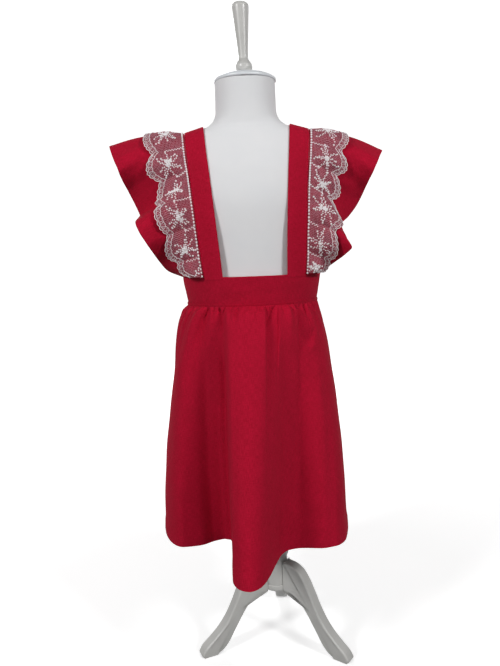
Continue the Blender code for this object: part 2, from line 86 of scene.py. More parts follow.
# Each piece's two angles from the centre front, in degrees, and its columns of points.
BAND_PIECES = {
    "band_front": (-90, 90, 220),
    "band_back_left": (-180, -90, 120),
    "band_back_right": (90, 180, 120),
}
SEAM_GAP = 0.0003
SKIRT_SEAM_GAP = 0.00003
SKIRT_SEAM_GROOVE = 0.0005
WEAVE_PITCH = 0.0007

# ---------- skirt: mean reaches at each drop below the band ----------
SKIRT = table(
    "drop left right front back",
    (0.000, 0.1070, 0.1070, 0.078, 0.078),
    (0.013, 0.1148, 0.1115, 0.083, 0.084),
    (0.030, 0.1220, 0.1165, 0.087, 0.089),
    (0.065, 0.1290, 0.1225, 0.092, 0.096),
    (0.105, 0.1345, 0.1280, 0.095, 0.102),
    (0.150, 0.1420, 0.1340, 0.098, 0.108),
    (0.200, 0.1495, 0.1395, 0.101, 0.114),
    (0.250, 0.1560, 0.1435, 0.103, 0.119),
    (0.310, 0.1615, 0.1470, 0.105, 0.124),
    (0.386, 0.1650, 0.1495, 0.106, 0.128),
)
SKIRT_LENGTH = SKIRT["drop"][-1]
SKIRT_CLOTH = 0.0009
SKIRT_UNEVENNESS = 0.0007
SKIRT_WAVES_ROUND = 2.6  # their pace once round the hem, over that from band to hem
SKIRT_WAVES_GROWTH = 6  # they are whole from 1/6 of the way down
SKIRT_STEP = 0.0006
HEM_DEPTH = 0.020
HEM_STEP = 0.002
# The hem's folds: where each point of the band (degrees from the centre front) falls at the hem.
HEM = table(
    "band_angle x y height",
    (-180, -0.012, 0.118, 0.213),
    (-166, -0.040, 0.150, 0.213),
    (-152, -0.070, 0.143, 0.214),
    (-140, -0.092, 0.108, 0.214),
    (-128, -0.122, 0.104, 0.213),
    (-115, -0.148, 0.090, 0.214),
    (-104, -0.158, 0.058, 0.213),
    (-90, -0.1650, 0.000, 0.213),
    (-80, -0.160, -0.032, 0.213),
    (-70, -0.144, -0.068, 0.213),
    (-60, -0.122, -0.087, 0.213),
    (-50, -0.099, -0.084, 0.213),
    (-40, -0.076, -0.070, 0.213),
    (-31, -0.060, -0.064, 0.213),
    (-25, -0.050, -0.074, 0.212),
    (-21, -0.043, -0.130, 0.210),
    (-18, -0.041, -0.180, 0.206),
    (-12, -0.032, -0.206, 0.204),
    (-4, -0.018, -0.213, 0.204),
    (5, -0.004, -0.205, 0.205),
    (13, 0.009, -0.182, 0.208),
    (20, 0.020, -0.152, 0.212),
    (27, 0.030, -0.125, 0.213),
    (35, 0.043, -0.110, 0.213),
    (45, 0.063, -0.105, 0.213),
    (57, 0.093, -0.106, 0.213),
    (69, 0.118, -0.102, 0.213),
    (79, 0.137, -0.079, 0.213),
    (90, 0.1495, 0.000, 0.213),
    (104, 0.146, 0.052, 0.214),
    (117, 0.133, 0.088, 0.213),
    (130, 0.106, 0.118, 0.213),
    (141, 0.078, 0.106, 0.214),
    (152, 0.058, 0.112, 0.213),
    (164, 0.032, 0.146, 0.213),
    (173, 0.008, 0.140, 0.214),
    (180, -0.012, 0.118, 0.213),
)
FOLD_GROWTH = 0.85
# Each panel's two angles at the band, in degrees, and its columns and rows of points.
PANELS = {
    "skirt_front": (-90, 90, 560, 76),
    "skirt_back_left": (-180, -90, 260, 72),
    "skirt_back_right": (90, 180, 260, 72),
}
ROW_CROWDING = 1.45
# Gathers under the band: troughs (depth above 0) and ridges (below 0), in degrees round the band,
# with a width on each side, drifting by lean degrees over their length.
GATHERS = table(
    "angle depth left right length lean",
    (-86, 0.0034, 2.0, 2.6, 0.040, -1),
    (-78, 0.0029, 1.8, 2.2, 0.030, -1),
    (-70, 0.0043, 1.6, 2.6, 0.046, -3),
    (-61, 0.0048, 1.4, 2.8, 0.050, -5),
    (-54, 0.0026, 1.2, 1.6, 0.024, -3),
    (-46, -0.0050, 3.0, 2.2, 0.085, -16),
    (-42, 0.0052, 1.1, 3.4, 0.095, -9),
    (-35.5, -0.0016, 1.6, 1.6, 0.050, 0),
    (-30, 0.0052, 1.4, 1.3, 0.030, 6),
    (-25.5, 0.0023, 1.0, 1.0, 0.018, 2),
    (-21.5, 0.0021, 3.4, 0.9, 0.110, 0),
    (-17.6, 0.0021, 0.8, 0.9, 0.022, 1.5),
    (-13.4, 0.0026, 0.7, 1.0, 0.030, 0.5),
    (-10.6, 0.0017, 1.2, 1.0, 0.016, -2),
    (-5, -0.0021, 3.4, 2.4, 0.060, 0),
    (0.8, 0.0029, 0.8, 0.9, 0.024, 3.5),
    (5.0, 0.0034, 0.8, 0.8, 0.017, 4),
    (8.4, -0.0025, 1.6, 0.9, 0.050, 1),
    (11.2, 0.0034, 0.8, 4.4, 0.105, 0.5),
    (13.2, 0.0036, 0.8, 0.9, 0.017, 5),
    (19.6, 0.0055, 0.9, 1.0, 0.022, -7),
    (24.5, 0.0020, 1.0, 1.0, 0.020, 2),
    (30.5, -0.0030, 3.2, 2.8, 0.060, 1),
    (34.6, 0.0023, 1.0, 1.0, 0.020, 1),
    (39.2, 0.0040, 0.8, 4.6, 0.070, 0.5),
    (44.4, 0.0020, 1.0, 1.0, 0.018, 3),
    (48.6, 0.0057, 1.1, 1.6, 0.030, 6),
    (55.5, 0.0046, 1.2, 1.6, 0.028, 5),
    (62, 0.0046, 1.5, 2.0, 0.036, 4),
    (69, 0.0026, 1.5, 1.8, 0.026, 3),
    (76, 0.0046, 1.8, 2.4, 0.040, 2),
    (85, 0.0034, 2.0, 2.4, 0.036, 1),
    (94, 0.0033, 2.0, 2.6, 0.052, 2),
    (103, 0.0022, 1.8, 2.0, 0.030, 1),
    (111, 0.0048, 1.2, 3.4, 0.075, 3),
    (119, -0.0022, 2.6, 2.6, 0.055, 2),
    (127, 0.0033, 1.4, 2.0, 0.036, 3),
    (135, 0.0057, 1.2, 3.6, 0.090, 2),
    (143, 0.0024, 1.4, 1.6, 0.022, 0),
    (149, 0.0044, 2.8, 1.2, 0.060, 1),
    (157, -0.0024, 2.6, 2.6, 0.060, 1),
    (163, 0.0033, 1.3, 1.7, 0.034, -2),
    (171, 0.0053, 3.0, 1.2, 0.080, 0),
    (180, 0.0022, 1.4, 1.4, 0.022, 1),
    (188, 0.0051, 1.2, 3.2, 0.070, -2),
    (196, 0.0024, 1.5, 1.5, 0.024, -1),
    (203, 0.0040, 1.3, 2.0, 0.044, -3),
    (211, -0.0024, 2.6, 2.6, 0.060, -2),
    (219, 0.0055, 3.4, 1.2, 0.085, -3),
    (227, 0.0026, 1.5, 1.7, 0.028, -1),
    (235, 0.0040, 1.4, 2.2, 0.052, -3),
    (244, 0.0024, 1.8, 1.8, 0.030, -2),
    (252, 0.0044, 2.8, 1.4, 0.060, -3),
    (264, 0.0026, 2.0, 2.2, 0.036, -1),
)
# Flat panels that stand above their neighbours between two steps, in degrees, each edge leaning
# by some degrees over the panel's length.
RAISED = table(
    "low high step height length low_lean high_lean",
    (-84, -41, 1.2, 0.0050, 0.085, 4, -14),
    (-23.2, 10.9, 0.9, 0.0074, 0.130, 1, 0),
    (21, 38.8, 1.0, 0.0052, 0.080, -1, 1.5),
    (50, 61.5, 1.4, 0.0026, 0.040, 3, 3),
    (112, 134, 1.3, 0.0045, 0.100, 0, 2),
    (158, 172, 1.4, 0.0040, 0.080, -1, 1),
    (189, 218, 1.3, 0.0050, 0.110, 0, -2),
    (236, 251, 1.4, 0.0040, 0.080, 1, -1),
)
# A small sagging dent under the gathers at the right: where, its half sizes, how deep.
DENT = {"angle": 51.0, "drop": 0.054, "half_angle": 6.5, "half_drop": 0.011, "depth": 0.0042}
DENT_SAG, DENT_RISE = 0.7, 0.3
DENT_LIP = {"share": 0.45, "below": 1.3, "narrow": 2.0}
PUCKER_DEPTH = 0.0044
PUCKER_SINK = 0.75
PUCKER_POWER = 0.8
PUCKERS_ROUND = 58
# How far the puckers stray round the band, in radians of their sine: anywhere, and for a metre down.
PUCKER_WANDER, PUCKER_SLANT = 2.2, 30
# Their size as a share of the depth, their length in metres, and how much each varies.
PUCKER_SIZE, PUCKER_SIZE_RANGE = 0.75, 0.6
PUCKER_LENGTH, PUCKER_LENGTH_RANGE = 0.012, 0.5
# How far down from the band each kind of relief is fully there.
PUCKER_START, GATHER_START, RAISED_START = 0.004, 0.007, 0.009
GATHER_WIDENING = 0.8
GATHER_POWER = 1.5
# How far a sewn edge runs on behind the band, and the skirt's two rows there: rise and depth.
TUCK = 0.004
TUCKED_ROWS = ((TUCK, 0.0009), (0.0010, 0.0008))
# Long soft folds of the skirt: ridges above 0, in degrees, between two drops.
SOFT_FOLDS = table(
    "angle height width start end",
    (-66, 0.0030, 9.0, 0.05, 0.50),
    (-44, -0.0030, 6.0, 0.06, 0.40),
    (-24.5, -0.0060, 2.9, 0.05, 0.55),
    (-17.0, 0.0030, 2.8, 0.03, 0.55),
    (18, 0.0015, 3.5, 0.02, 0.24),
    (43, -0.0045, 5.0, 0.09, 0.36),
    (58, 0.0032, 6.0, 0.08, 0.45),
    (112, -0.0030, 7.0, 0.06, 0.40),
    (147, 0.0030, 7.0, 0.05, 0.45),
    (205, 0.0030, 7.0, 0.05, 0.45),
    (241, -0.0030, 7.0, 0.06, 0.40),
)
SOFT_FOLD_RISE = 0.06

# ---------- dress form: reaches at each height ----------
FORM = table(
    "height side front back",
    (0.490, 0.1000, 0.070, 0.078),
    (0.530, 0.1010, 0.071, 0.078),
    (0.570, 0.0985, 0.071, 0.073),
    (0.600, 0.0970, 0.071, 0.069),
    (0.645, 0.1000, 0.074, 0.071),
    (0.700, 0.1080, 0.081, 0.080),
    (0.760, 0.1180, 0.087, 0.088),
    (0.805, 0.1250, 0.081, 0.087),
    (0.835, 0.1310, 0.070, 0.078),
    (0.850, 0.1300, 0.062, 0.070),
    (0.860, 0.1230, 0.056, 0.063),
    (0.868, 0.1080, 0.051, 0.057),
    (0.875, 0.0850, 0.047, 0.052),
    (0.882, 0.0640, 0.045, 0.049),
    (0.892, 0.0530, 0.045, 0.047),
    (0.905, 0.0490, 0.045, 0.046),
    (0.9497, 0.0480, 0.047, 0.047),
)
# Rows of points: from one height to another, and how many.
FORM_ROWS = ((0.490, 0.83, 100), (0.8315, 0.905, 70), (0.907, 0.9497, 16))
FORM_COLUMNS = 120
FORM_UV_RADIUS = 0.1
FORM_SQUARENESS = 2.2
CHEST_HEIGHT = 0.770
FARTHEST_SKIN = 0.30
HALVINGS = 30
FORM_EDGE = 0.006

# ---------- straps ----------
STRAP_WIDTH = 0.030
STRAP_CLEARANCE = 0.0012
STRAP_CLOTH = 0.0018
STRAP_CROWN = 0.0002
STRAP_SOFTNESS = 0.0003
STRAP_WAVES_ACROSS = 0.2
# How far across and along its directions are taken from: at the middle line, and at the arm-side edge.
STRAP_BESIDE, STRAP_STEP = (-0.4, 0.4), 0.003
STRAP_EDGE_BESIDE, STRAP_EDGE_STEP = (0.98, 1), 0.001
STRAP_BEHIND_BAND = 0.0024  # from the band's outer face in to a strap's end
STRAP_ROWS, STRAP_FACE_POINTS = 170, 16
STRAP_LOW_ANGLE = math.radians(-52)
STRAP_SETTLE = 0.30
# How far each strap's middle is from the centre plane at its two ends and on the shoulder, and the
# power by which it moves from one to the other.
STRAPS = {
    "left": {"side": -1, "front_band": 0.0595, "shoulder": 0.0850, "back_band": 0.050, "bend": 0.95},
    "right": {"side": 1, "front_band": 0.0705, "shoulder": 0.0850, "back_band": 0.050, "bend": 1.50},
}

# ---------- wings: the free edge, from the shoulder (0) to the waistband (1) ----------
WINGS = {
    "left": table(
        "along reach forward height",
        (0.00, 0.2232, 0.000, 0.862),
        (0.04, 0.2180, 0.026, 0.854),
        (0.09, 0.2097, 0.048, 0.837),
        (0.14, 0.2034, 0.061, 0.825),
        (0.20, 0.1988, 0.062, 0.813),
        (0.27, 0.1961, 0.050, 0.800),
        (0.35, 0.1905, 0.029, 0.783),
        (0.43, 0.1833, 0.021, 0.765),
        (0.49, 0.1769, 0.018, 0.748),
        (0.53, 0.1747, 0.046, 0.741),
        (0.58, 0.1736, 0.080, 0.733),
        (0.65, 0.1649, 0.097, 0.715),
        (0.72, 0.1560, 0.093, 0.699),
        (0.78, 0.1506, 0.074, 0.686),
        (0.85, 0.1439, 0.050, 0.671),
        (0.92, 0.1349, 0.030, 0.657),
        (1.00, 0.1147, 0.012, 0.646),
    ),
    "right": table(
        "along reach forward height",
        (0.00, 0.2198, 0.000, 0.839),
        (0.03, 0.2155, 0.020, 0.834),
        (0.07, 0.2067, 0.042, 0.823),
        (0.12, 0.1998, 0.057, 0.812),
        (0.18, 0.1946, 0.058, 0.801),
        (0.26, 0.1885, 0.046, 0.786),
        (0.34, 0.1829, 0.026, 0.770),
        (0.43, 0.1742, 0.018, 0.752),
        (0.50, 0.1593, 0.021, 0.733),
        (0.57, 0.1448, 0.038, 0.719),
        (0.62, 0.1444, 0.060, 0.710),
        (0.68, 0.1461, 0.085, 0.698),
        (0.74, 0.1530, 0.092, 0.684),
        (0.80, 0.1459, 0.078, 0.674),
        (0.87, 0.1325, 0.052, 0.662),
        (0.95, 0.1175, 0.028, 0.650),
        (1.00, 0.1127, 0.012, 0.646),
    ),
}
WING_BOW = 0.007
WING_SWEEP = 1.8
WING_START = 0.0008
SHOULDER_ROUND = 0.016
WING_CLOTH = 0.0010
WING_HEM = 0.005
WING_HEM_STEP = 0.001
WING_SOFTNESS = 0.0006
WING_WAVES_ACROSS = 0.4
WING_OUTWARD = 0.5  # how far to the side its bow and folds point, against forwards or up
WING_FOLD_POWER = 0.8
WING_STEP, WING_ACROSS_STEP = 0.004, 0.02
WING_ROWS, WING_COLUMNS = 300, 52
WING_CROWDING = 0.9
# Soft troughs of a wing, from the strap's edge to the free edge: station, depth in metres, width.
WING_FOLDS = {
    "left": table(
        "along depth width",
        (-0.82, 0.0040, 0.050),
        (-0.62, -0.0040, 0.050),
        (-0.46, 0.0120, 0.085),
        (-0.20, -0.0030, 0.050),
        (0.14, -0.0020, 0.050),
        (0.33, 0.0050, 0.060),
        (0.56, -0.0030, 0.045),
        (0.76, 0.0040, 0.045),
    ),
    "right": table(
        "along depth width",
        (-0.87, 0.0040, 0.045),
        (-0.70, -0.0040, 0.045),
        (-0.44, 0.0120, 0.085),
        (-0.19, -0.0030, 0.050),
        (0.12, -0.0020, 0.045),
        (0.34, 0.0050, 0.060),
        (0.58, -0.0030, 0.050),
        (0.80, 0.0040, 0.050),
    ),
}

# ---------- lace: its width, from the shoulder (0) to the waistband (1) ----------
LACE = table(
    "along width",
    (0.00, 0.062), (0.55, 0.062), (0.72, 0.056), (0.87, 0.047), (0.95, 0.036), (1.00, 0.018),
)
LACE_START = 0.0014
# The stations of the notches between the scallops, from the shoulder down.
LACE_NOTCHES = {
    "left": (0.0, 0.230, 0.390, 0.575, 0.735, 0.895, 1.05),
    "right": (0.0, 0.220, 0.355, 0.505, 0.715, 0.870, 1.02),
}
SCALLOP_DEPTH, SCALLOP_POWER = 0.20, 1.2
LACE_MOST = 0.85
LACE_OFF_WING = 0.0003
LACE_CLOTH = 0.0004
LACE_BILLOW = 0.0075
# How the billow rises from the seam: the sine's pace and power, the fall to the edge; its power at creases.
LACE_RISE, LACE_RISE_POWER, LACE_EDGE_FALL, LACE_CREASE_POWER = 1.7, 1.3, 0.35, 0.8
LACE_ROWS, LACE_COLUMNS = 420, 26
PICOT_PITCH = 0.0066
PICOT_DEPTH = 0.0019
LACE_BORDER = 0.0098
LACE_SOFTNESS = 0.0006
LACE_WAVES_ACROSS = 20
METRES_PER_STATION = 0.255
SEAM_STATIONS = 801

# ---------- embroidery, in metres; a size is a knot's half width ----------
# How near to the lace's ends, at stations -1 and 1, the beads, the cords and the rest come.
BEADED_TO, CORDED_TO, STITCHED_TO = 0.995, 0.99, 0.985
THREAD_LIFT = 0.0003
KNOT_SHOULDER = (0.72, 0.68)  # the upper ring's radius and height, as shares of the knot's
KNOT_STEP = 0.002  # how far ahead, in stations, a knot's long way is taken from
# A knot's height over its half width, and a bead's half length over that.
KNOT_HEIGHT, SPRAY_KNOT_HEIGHT, BEAD_HEIGHT, BEAD_STRETCH = 0.6, 0.75, 0.9, 1.30
BEAD_PITCH, BEAD_WIDTH, BEAD_SIZE = 0.0044, 0.0030, 0.00160
CORD_POINTS = 1500
EDGE_CORDS = table(
    "inset wave radius",
    (0.0004, PICOT_DEPTH, 0.00055),
    (0.0020, 0.0, 0.00036),
    (LACE_BORDER, 0.0012, 0.00042),
)
RING_KNOTS, RING_RADIUS, RING_INSET, RING_SIZE = 5, 0.0016, 0.0052, 0.00062
DOT_PITCH = 0.0033
DOT_ROWS = table("inset size start", (0.0032, 0.00055, 0.0065), (0.0078, 0.00060, 0.0))
SPRAY_SEEDS = {"left": 11, "right": 31}
# A spray is a little past its scallop's middle, in stations, and nearer to the border by half a shift;
# it has its full size where the lace is as wide as SPRAY_ROOM.
SPRAY_PAST_MIDDLE, SPRAY_SHIFT, SPRAY_ROOM = 0.015, 0.004, 0.054
SPRAY_LOWEST, SPRAY_MARGIN = 0.0050, 0.0008
PETALS, PETAL_REACH, PETAL_SIZE, HEART_SIZE = 7, (0.0024, 0.0036), 0.00165, 0.0025
BESIDE_TURNS, BESIDE_JITTER, BESIDE_REACH, BESIDE_SCALE = (0.0, 1.0, -1.3), 0.2, 0.0062, 0.62
STEMS, STEM_LENGTH, STEM_START, STEM_PITCH = 11, (0.0175, 0.0220), 0.0064, 0.0028
STEM_TURN, STEM_JITTER, STEM_SCALES = 0.24, 0.12, (0.85, 1.08)
STEM_BEND, STEM_WIGGLE, STEM_SIZE, STEM_END_SIZE = 0.30, 0.0006, 0.00126, 0.00165
CREASE_START, CREASE_PITCH, CREASE_SIZE = 0.0045, 0.0021, 0.00105
CREASE_CURL, CREASE_TURN, CREASE_WIGGLE = 0.0030, 4, 0.0007
CREASE_REACHES = (0.60, 0.42)

# ---------- stand ----------
STAND_X = 0.0245
LEAN = 0.030
LEAN_FROM = 0.150
COLUMN = table(
    "height radius",
    (0.1028, 0.0218), (0.1040, 0.0225), (0.1250, 0.0224), (0.1400, 0.0215), (0.1455, 0.0206),
    (0.1490, 0.0206), (0.1540, 0.0226), (0.1600, 0.0239), (0.1650, 0.0241), (0.1700, 0.0238),
    (0.1800, 0.0221), (0.2000, 0.0190), (0.2400, 0.0155), (0.3000, 0.0143), (0.4897, 0.0140),
)
DISC = table(
    "height radius",
    (0.0910, 0.0190), (0.0913, 0.0200), (0.0925, 0.0220), (0.0942, 0.0230), (0.0970, 0.0233),
    (0.1010, 0.0233), (0.1022, 0.0230), (0.1025, 0.0224),
)
NECK_CAP = table(
    "height radius",
    (0.9500, 0.0486), (0.9503, 0.0494), (0.9512, 0.0499), (0.9530, 0.0500), (0.9543, 0.0495),
    (0.9560, 0.0474), (0.9580, 0.0436), (0.9605, 0.0360), (0.9625, 0.0255), (0.9637, 0.0170),
    (0.9640, 0.0110),
)
FINIAL = table(
    "height radius",
    (0.9643, 0.0100), (0.9650, 0.0108), (0.9670, 0.0118), (0.9700, 0.0129), (0.9735, 0.0134),
    (0.9765, 0.0132), (0.9800, 0.0118), (0.9830, 0.0098), (0.9852, 0.0083), (0.9880, 0.0077),
    (0.9960, 0.0080), (1.0200, 0.0098), (1.0450, 0.0119), (1.0610, 0.0133), (1.0655, 0.0135),
    (1.0685, 0.0127), (1.0706, 0.0100), (1.0717, 0.0062), (1.0720, 0.0025),
)
TURNED_COLUMNS = 72
TURNED_ROWS = 90
TURNED_UV_RADIUS = 0.02

# ---------- legs: a board's outline, out from the column's axis ----------
LEG_THICKNESS = 0.021
LEG_ROUND = 0.0034
LEG_ROOT_RADIUS = 0.0238
LEG_TOP = table(
    "out height",
    (0.0000, 0.146), (0.0360, 0.143), (0.0520, 0.136), (0.0642, 0.121), (0.0746, 0.101),
    (0.0848, 0.079), (0.0962, 0.059), (0.1095, 0.042), (0.1255, 0.027), (0.1410, 0.014),
    (0.1465, 0.005),
)
LEG_UNDER = table(
    "out height",
    (0.0000, 0.0905), (0.0340, 0.0890), (0.0465, 0.0835), (0.0585, 0.074), (0.0685, 0.061),
    (0.0775, 0.047), (0.0865, 0.033), (0.0950, 0.019), (0.1065, 0.0065), (0.1185, 0.000),
)
LEG_TOE = 0.1430
# The toe's points: how far from the top's end to the sole, and how far out of that line.
LEG_TOE_ROUND = table("share out", (0.35, 0.0010), (0.7, 0.0012), (1.0, 0.0))
LEG_BEARINGS = {"left": 203.5, "right": 324.0, "back": 84.0}
LEG_STATIONS = 60
LEG_ROUND_STEPS = 6
LEG_FLAT_STEPS = 7

# ---------- materials' nodes ----------
WAVE_NODE_PACE = 20  # a wave node's sine is that of this times its scale
MIX_LOW, MIX_HIGH, MIX_RESULT = 6, 7, 2  # the colour sockets of a Mix node

# ---------- camera and light ----------
SENSOR_WIDTH = 36
NEAREST, FARTHEST = 0.05, 50
# The camera's place in the dress's own frame, its angles in degrees and its lens in millimetres.
CAMERA = {"place": (0.0, -1.04, 0.685), "pitch": 7.6, "roll": 2.1, "yaw": 0.34, "lens": 33.62}
# Each lamp's name, place, width and power.
LAMPS = (
    ("left_lamp", (-1.78, -1.62, 1.82), 0.6, 35.0),
    ("right_lamp", (1.78, -1.62, 1.82), 0.6, 32.5),
    ("low_lamp", (0.0, -2.6, 0.45), 1.0, 8.0),
    ("back_lamp", (-0.5, 2.3, 1.7), 1.2, 30.0),
)
LAMP_AIM = (0.0, 0.0, 0.50)
WORLD_LIGHT = 0.07
SWEEP_REACH, SWEEP_BEND, SWEEP_WALL, SWEEP_HEIGHT = 4.2, 1.4, 5.0, -0.0005
SWEEP_FLOOR_RINGS = (0.02, 1.0, 2.0)
SWEEP_COLUMNS, SWEEP_BEND_ROWS = 96, 24
GLOW_FROM, GLOW_TO = 0.5, 2.6
FLOOR_GLOW, WALL_GLOW = 0.52, 0.97


# ---------- curves ----------
def smooth(xs, ys, x):
    """Monotone cubic through the rows (xs, ys): an eased step between two rows, plus a swing by the
    slopes at its ends, each the harmonic mean of its neighbours', so that it never passes a row."""
    x = np.asarray(x, float)
    step = np.diff(xs)
    slope = np.diff(ys) / step
    product = slope[:-1] * slope[1:]
    total = np.where(product > 0, slope[:-1] + slope[1:], 1.0)
    inner = np.where(product > 0, 2 * product / total, 0.0)
    tangent = np.concatenate([slope[:1], inner, slope[-1:]])
    i = np.clip(np.searchsorted(xs, x, side="right") - 1, 0, len(step) - 1)
    t = np.clip((x - xs[i]) / step[i], 0, 1)
    held = ys[i] + (ys[i + 1] - ys[i]) * t * t * (3 - 2 * t)
    swing = step[i] * t * (1 - t) * (tangent[i] * (1 - t) - tangent[i + 1] * t)
    return held + swing


def read(rows, columns, at):
    """Columns of a table at values of its first column, smooth between its rows."""
    first = next(iter(rows.values()))
    return [smooth(first, rows[key], at) for key in columns.split()]


def distance_along(x, y):
    """How far along a path each of its points lies: the running sum of its steps' lengths."""
    return np.concatenate([[0], np.cumsum(np.hypot(np.diff(x), np.diff(y)))])


def stacked(*coordinates):
    """Points from their coordinates: arrays or single numbers, spread to one shape."""
    return np.stack(np.broadcast_arrays(*coordinates), axis=-1)


def past_whole_turns(degrees):
    """What is left of an angle past whole turns, from -180 to 180."""
    return (degrees + 180) % 360 - 180


def full_turn(steps):
    """Angles evenly spaced round a circle, from 0."""
    return np.arange(steps) * 2 * math.pi / steps


def ease(t):
    """0 to 1 with level ends: 3t^2 - 2t^3."""
    t = np.clip(t, 0, 1)
    return t * t * (3 - 2 * t)


def unit(vectors):
    """Each vector over its own length."""
    return vectors / np.maximum(np.linalg.norm(vectors, axis=-1, keepdims=True), 1e-12)


def around(angle, left, right, front, back):
    """A point of an oval with four reaches; the angle is counted from the front, towards +X."""
    x = np.where(np.sin(angle) < 0, left, right) * np.sin(angle)
    y = -np.where(np.cos(angle) > 0, front, back) * np.cos(angle)
    return x, y


def waves(kind, *coordinates):
    """Soft unevenness from -1 to 1: a mean of sines with seeded directions, paces and starts."""
    seed, count, low, high = WAVES[kind]
    rng = np.random.default_rng(seed)
    total = 0.0
    for _ in range(count):
        direction = rng.uniform(low, high, len(coordinates)) * rng.choice([-1, 1], len(coordinates))
        phase = sum(d * c for d, c in zip(direction, coordinates))
        total = total + np.sin(phase + rng.uniform(0, 2 * math.pi))
    return total / count


# ---------- meshes: a shape is (points, triangles, uv), with uv in metres of cloth ----------
def strip(a, b):
    """Triangles between two rows of vertex numbers of the same length, two for each step."""
    a0, a1, b0, b1 = a[:-1], a[1:], b[:-1], b[1:]
    return np.concatenate([stacked(a0, b0, b1), stacked(a0, b1, a1)])


def grid_faces(rows, columns, first=0):
    """Triangles of a grid of rows times columns points, two for each cell."""
    index = np.arange(rows * columns).reshape(rows, columns) + first
    a, b, c, d = index[:-1, :-1], index[:-1, 1:], index[1:, 1:], index[1:, :-1]
    return np.concatenate([stacked(a, d, c).reshape(-1, 3), stacked(a, c, b).reshape(-1, 3)])


def ring_faces(count, columns):
    """Vertex numbers of count rings, each with its first point again, and the triangles between them."""
    index = np.arange(count * columns).reshape(count, columns)
    closed = np.concatenate([index, index[:, :1]], axis=1)
    return closed, np.concatenate([strip(closed[r], closed[r + 1]) for r in range(count - 1)])


def wall(outer, inner, uv):
    """A sheet of cloth: an outer grid, an inner one turned over, and the rim that joins their borders."""
    rows, columns = outer.shape[:2]
    count = rows * columns
    index = np.arange(count).reshape(rows, columns)
    border = np.concatenate([index[0, :-1], index[:-1, -1], index[-1, :0:-1], index[:0:-1, 0]])
    border = np.append(border, border[0])
    inside = grid_faces(rows, columns, count)[:, ::-1]
    faces = np.concatenate([grid_faces(rows, columns), inside, strip(border + count, border)])
    points = np.concatenate([outer.reshape(-1, 3), inner.reshape(-1, 3)])
    return points, faces, np.concatenate([uv.reshape(-1, 2)] * 2)


def tube(rings, uv):
    """Closed rings of points joined in turn, each end closed by a fan about its middle point."""
    count, columns = rings.shape[:2]
    closed, sides = ring_faces(count, columns)
    middles = rings[[0, -1]].mean(axis=1)
    ends = [
        stacked(*[count * columns + k, row[:-1], row[1:]][::order])
        for k, row, order in ((0, closed[0], 1), (1, closed[-1], -1))
    ]
    points = np.concatenate([rings.reshape(-1, 3), middles])
    uv = np.concatenate([uv.reshape(-1, 2), uv[[0, -1]].mean(axis=1)])
    return points, np.concatenate([sides, *ends]), uv


def join(shapes):
    """Several shapes as one, each one's triangles counted on from the points before it."""
    points, faces, uvs = zip(*shapes)
    starts = np.cumsum([0, *map(len, points[:-1])])
    moved = [f + start for f, start in zip(faces, starts)]
    return np.concatenate(points), np.concatenate(moved), np.concatenate(uvs)


def outwards(points, faces):
    """The triangles, turned over if the volume that they close is negative: the sum of a . (b x c),
    over 6."""
    a, b, c = (points[faces[:, k]] for k in range(3))
    return faces if (a * np.cross(b, c)).sum() > 0 else faces[:, ::-1]


def place_of_dress():
    """Where the dress's own frame stands in the part's: from the torso's middle and the band's front."""
    torso_low, torso_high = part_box("form_torso")
    band_low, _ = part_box("band_front")
    return np.array([(torso_low.x + torso_high.x) / 2, band_low.y + BAND["front"][-1], 0.0])


DRESS_PLACE = place_of_dress()


def piece(name, shape, look, replaces=(), sharp=50, round_uv=None):
    """A finished piece: a mesh with its uv, smooth but for edges over sharp degrees, riding on the part.
    Where the uv runs round by round_uv metres, a triangle across its join takes the longer way's values."""
    points, faces, uv = shape
    faces = outwards(points, faces)
    mesh = bpy.data.meshes.new(name)
    mesh.from_pydata((points + DRESS_PLACE).tolist(), [], faces.tolist())
    corners = np.empty(len(mesh.loops), int)
    mesh.loops.foreach_get("vertex_index", corners)
    layer = mesh.uv_layers.new(name="cloth")
    corner_uv = uv[corners].reshape(-1, 3, 2)
    if round_uv:
        run = corner_uv[..., 0]
        over_join = np.ptp(run, axis=1) > round_uv / 2
        run[over_join] += round_uv * (run[over_join] < round_uv / 2)
    layer.data.foreach_set("uv", corner_uv.astype(np.float32).ravel())
    mesh.shade_smooth()
    mesh.set_sharp_from_angle(angle=math.radians(sharp))
    mesh.materials.append(look)
    made = bpy.data.objects.new(name, mesh)
    bpy.context.scene.collection.objects.link(made)
    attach(made, "root")
    if replaces:
        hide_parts(*replaces)
    return made


# ---------- materials ----------
def material(name, colour, roughness, **sockets):
    look = bpy.data.materials.new(name)
    look.use_nodes = True
    tree = look.node_tree
    shader = tree.nodes["Principled BSDF"]
    shader.inputs["Base Color"].default_value = (*colour, 1)
    shader.inputs["Roughness"].default_value = roughness
    for socket, value in sockets.items():
        shader.inputs[socket.replace("_", " ")].default_value = value

    def node(kind, settings=None, **inputs):
        made = tree.nodes.new("ShaderNode" + kind)
        for key, value in (settings or {}).items():
            setattr(made, key, value)
        for key, value in inputs.items():
            numbered = key[0] == "i" and key[1:].isdigit()
            socket = made.inputs[int(key[1:]) if numbered else key.replace("_", " ")]
            if isinstance(value, bpy.types.NodeSocket):
                tree.links.new(value, socket)
            else:
                socket.default_value = value
        return made

    def finish(joined, height=None, strength=0.0, distance=0.0):
        for socket, value in joined.items():
            tree.links.new(value, shader.inputs[socket])
        if height:
            bump = node("Bump", Height=height, Strength=strength, Distance=distance).outputs[0]
            tree.links.new(bump, shader.inputs["Normal"])

    return look, node, finish


def cloth_place(node):
    """Places in metres of flat cloth."""
    return node("UVMap", {"uv_map": "cloth"}).outputs[0]


def noise(node, place, scale, detail, **more):
    """Soft noise of 0 to 1 at a scale."""
    return node("TexNoise", Vector=place, Scale=scale, Detail=detail, **more).outputs[0]


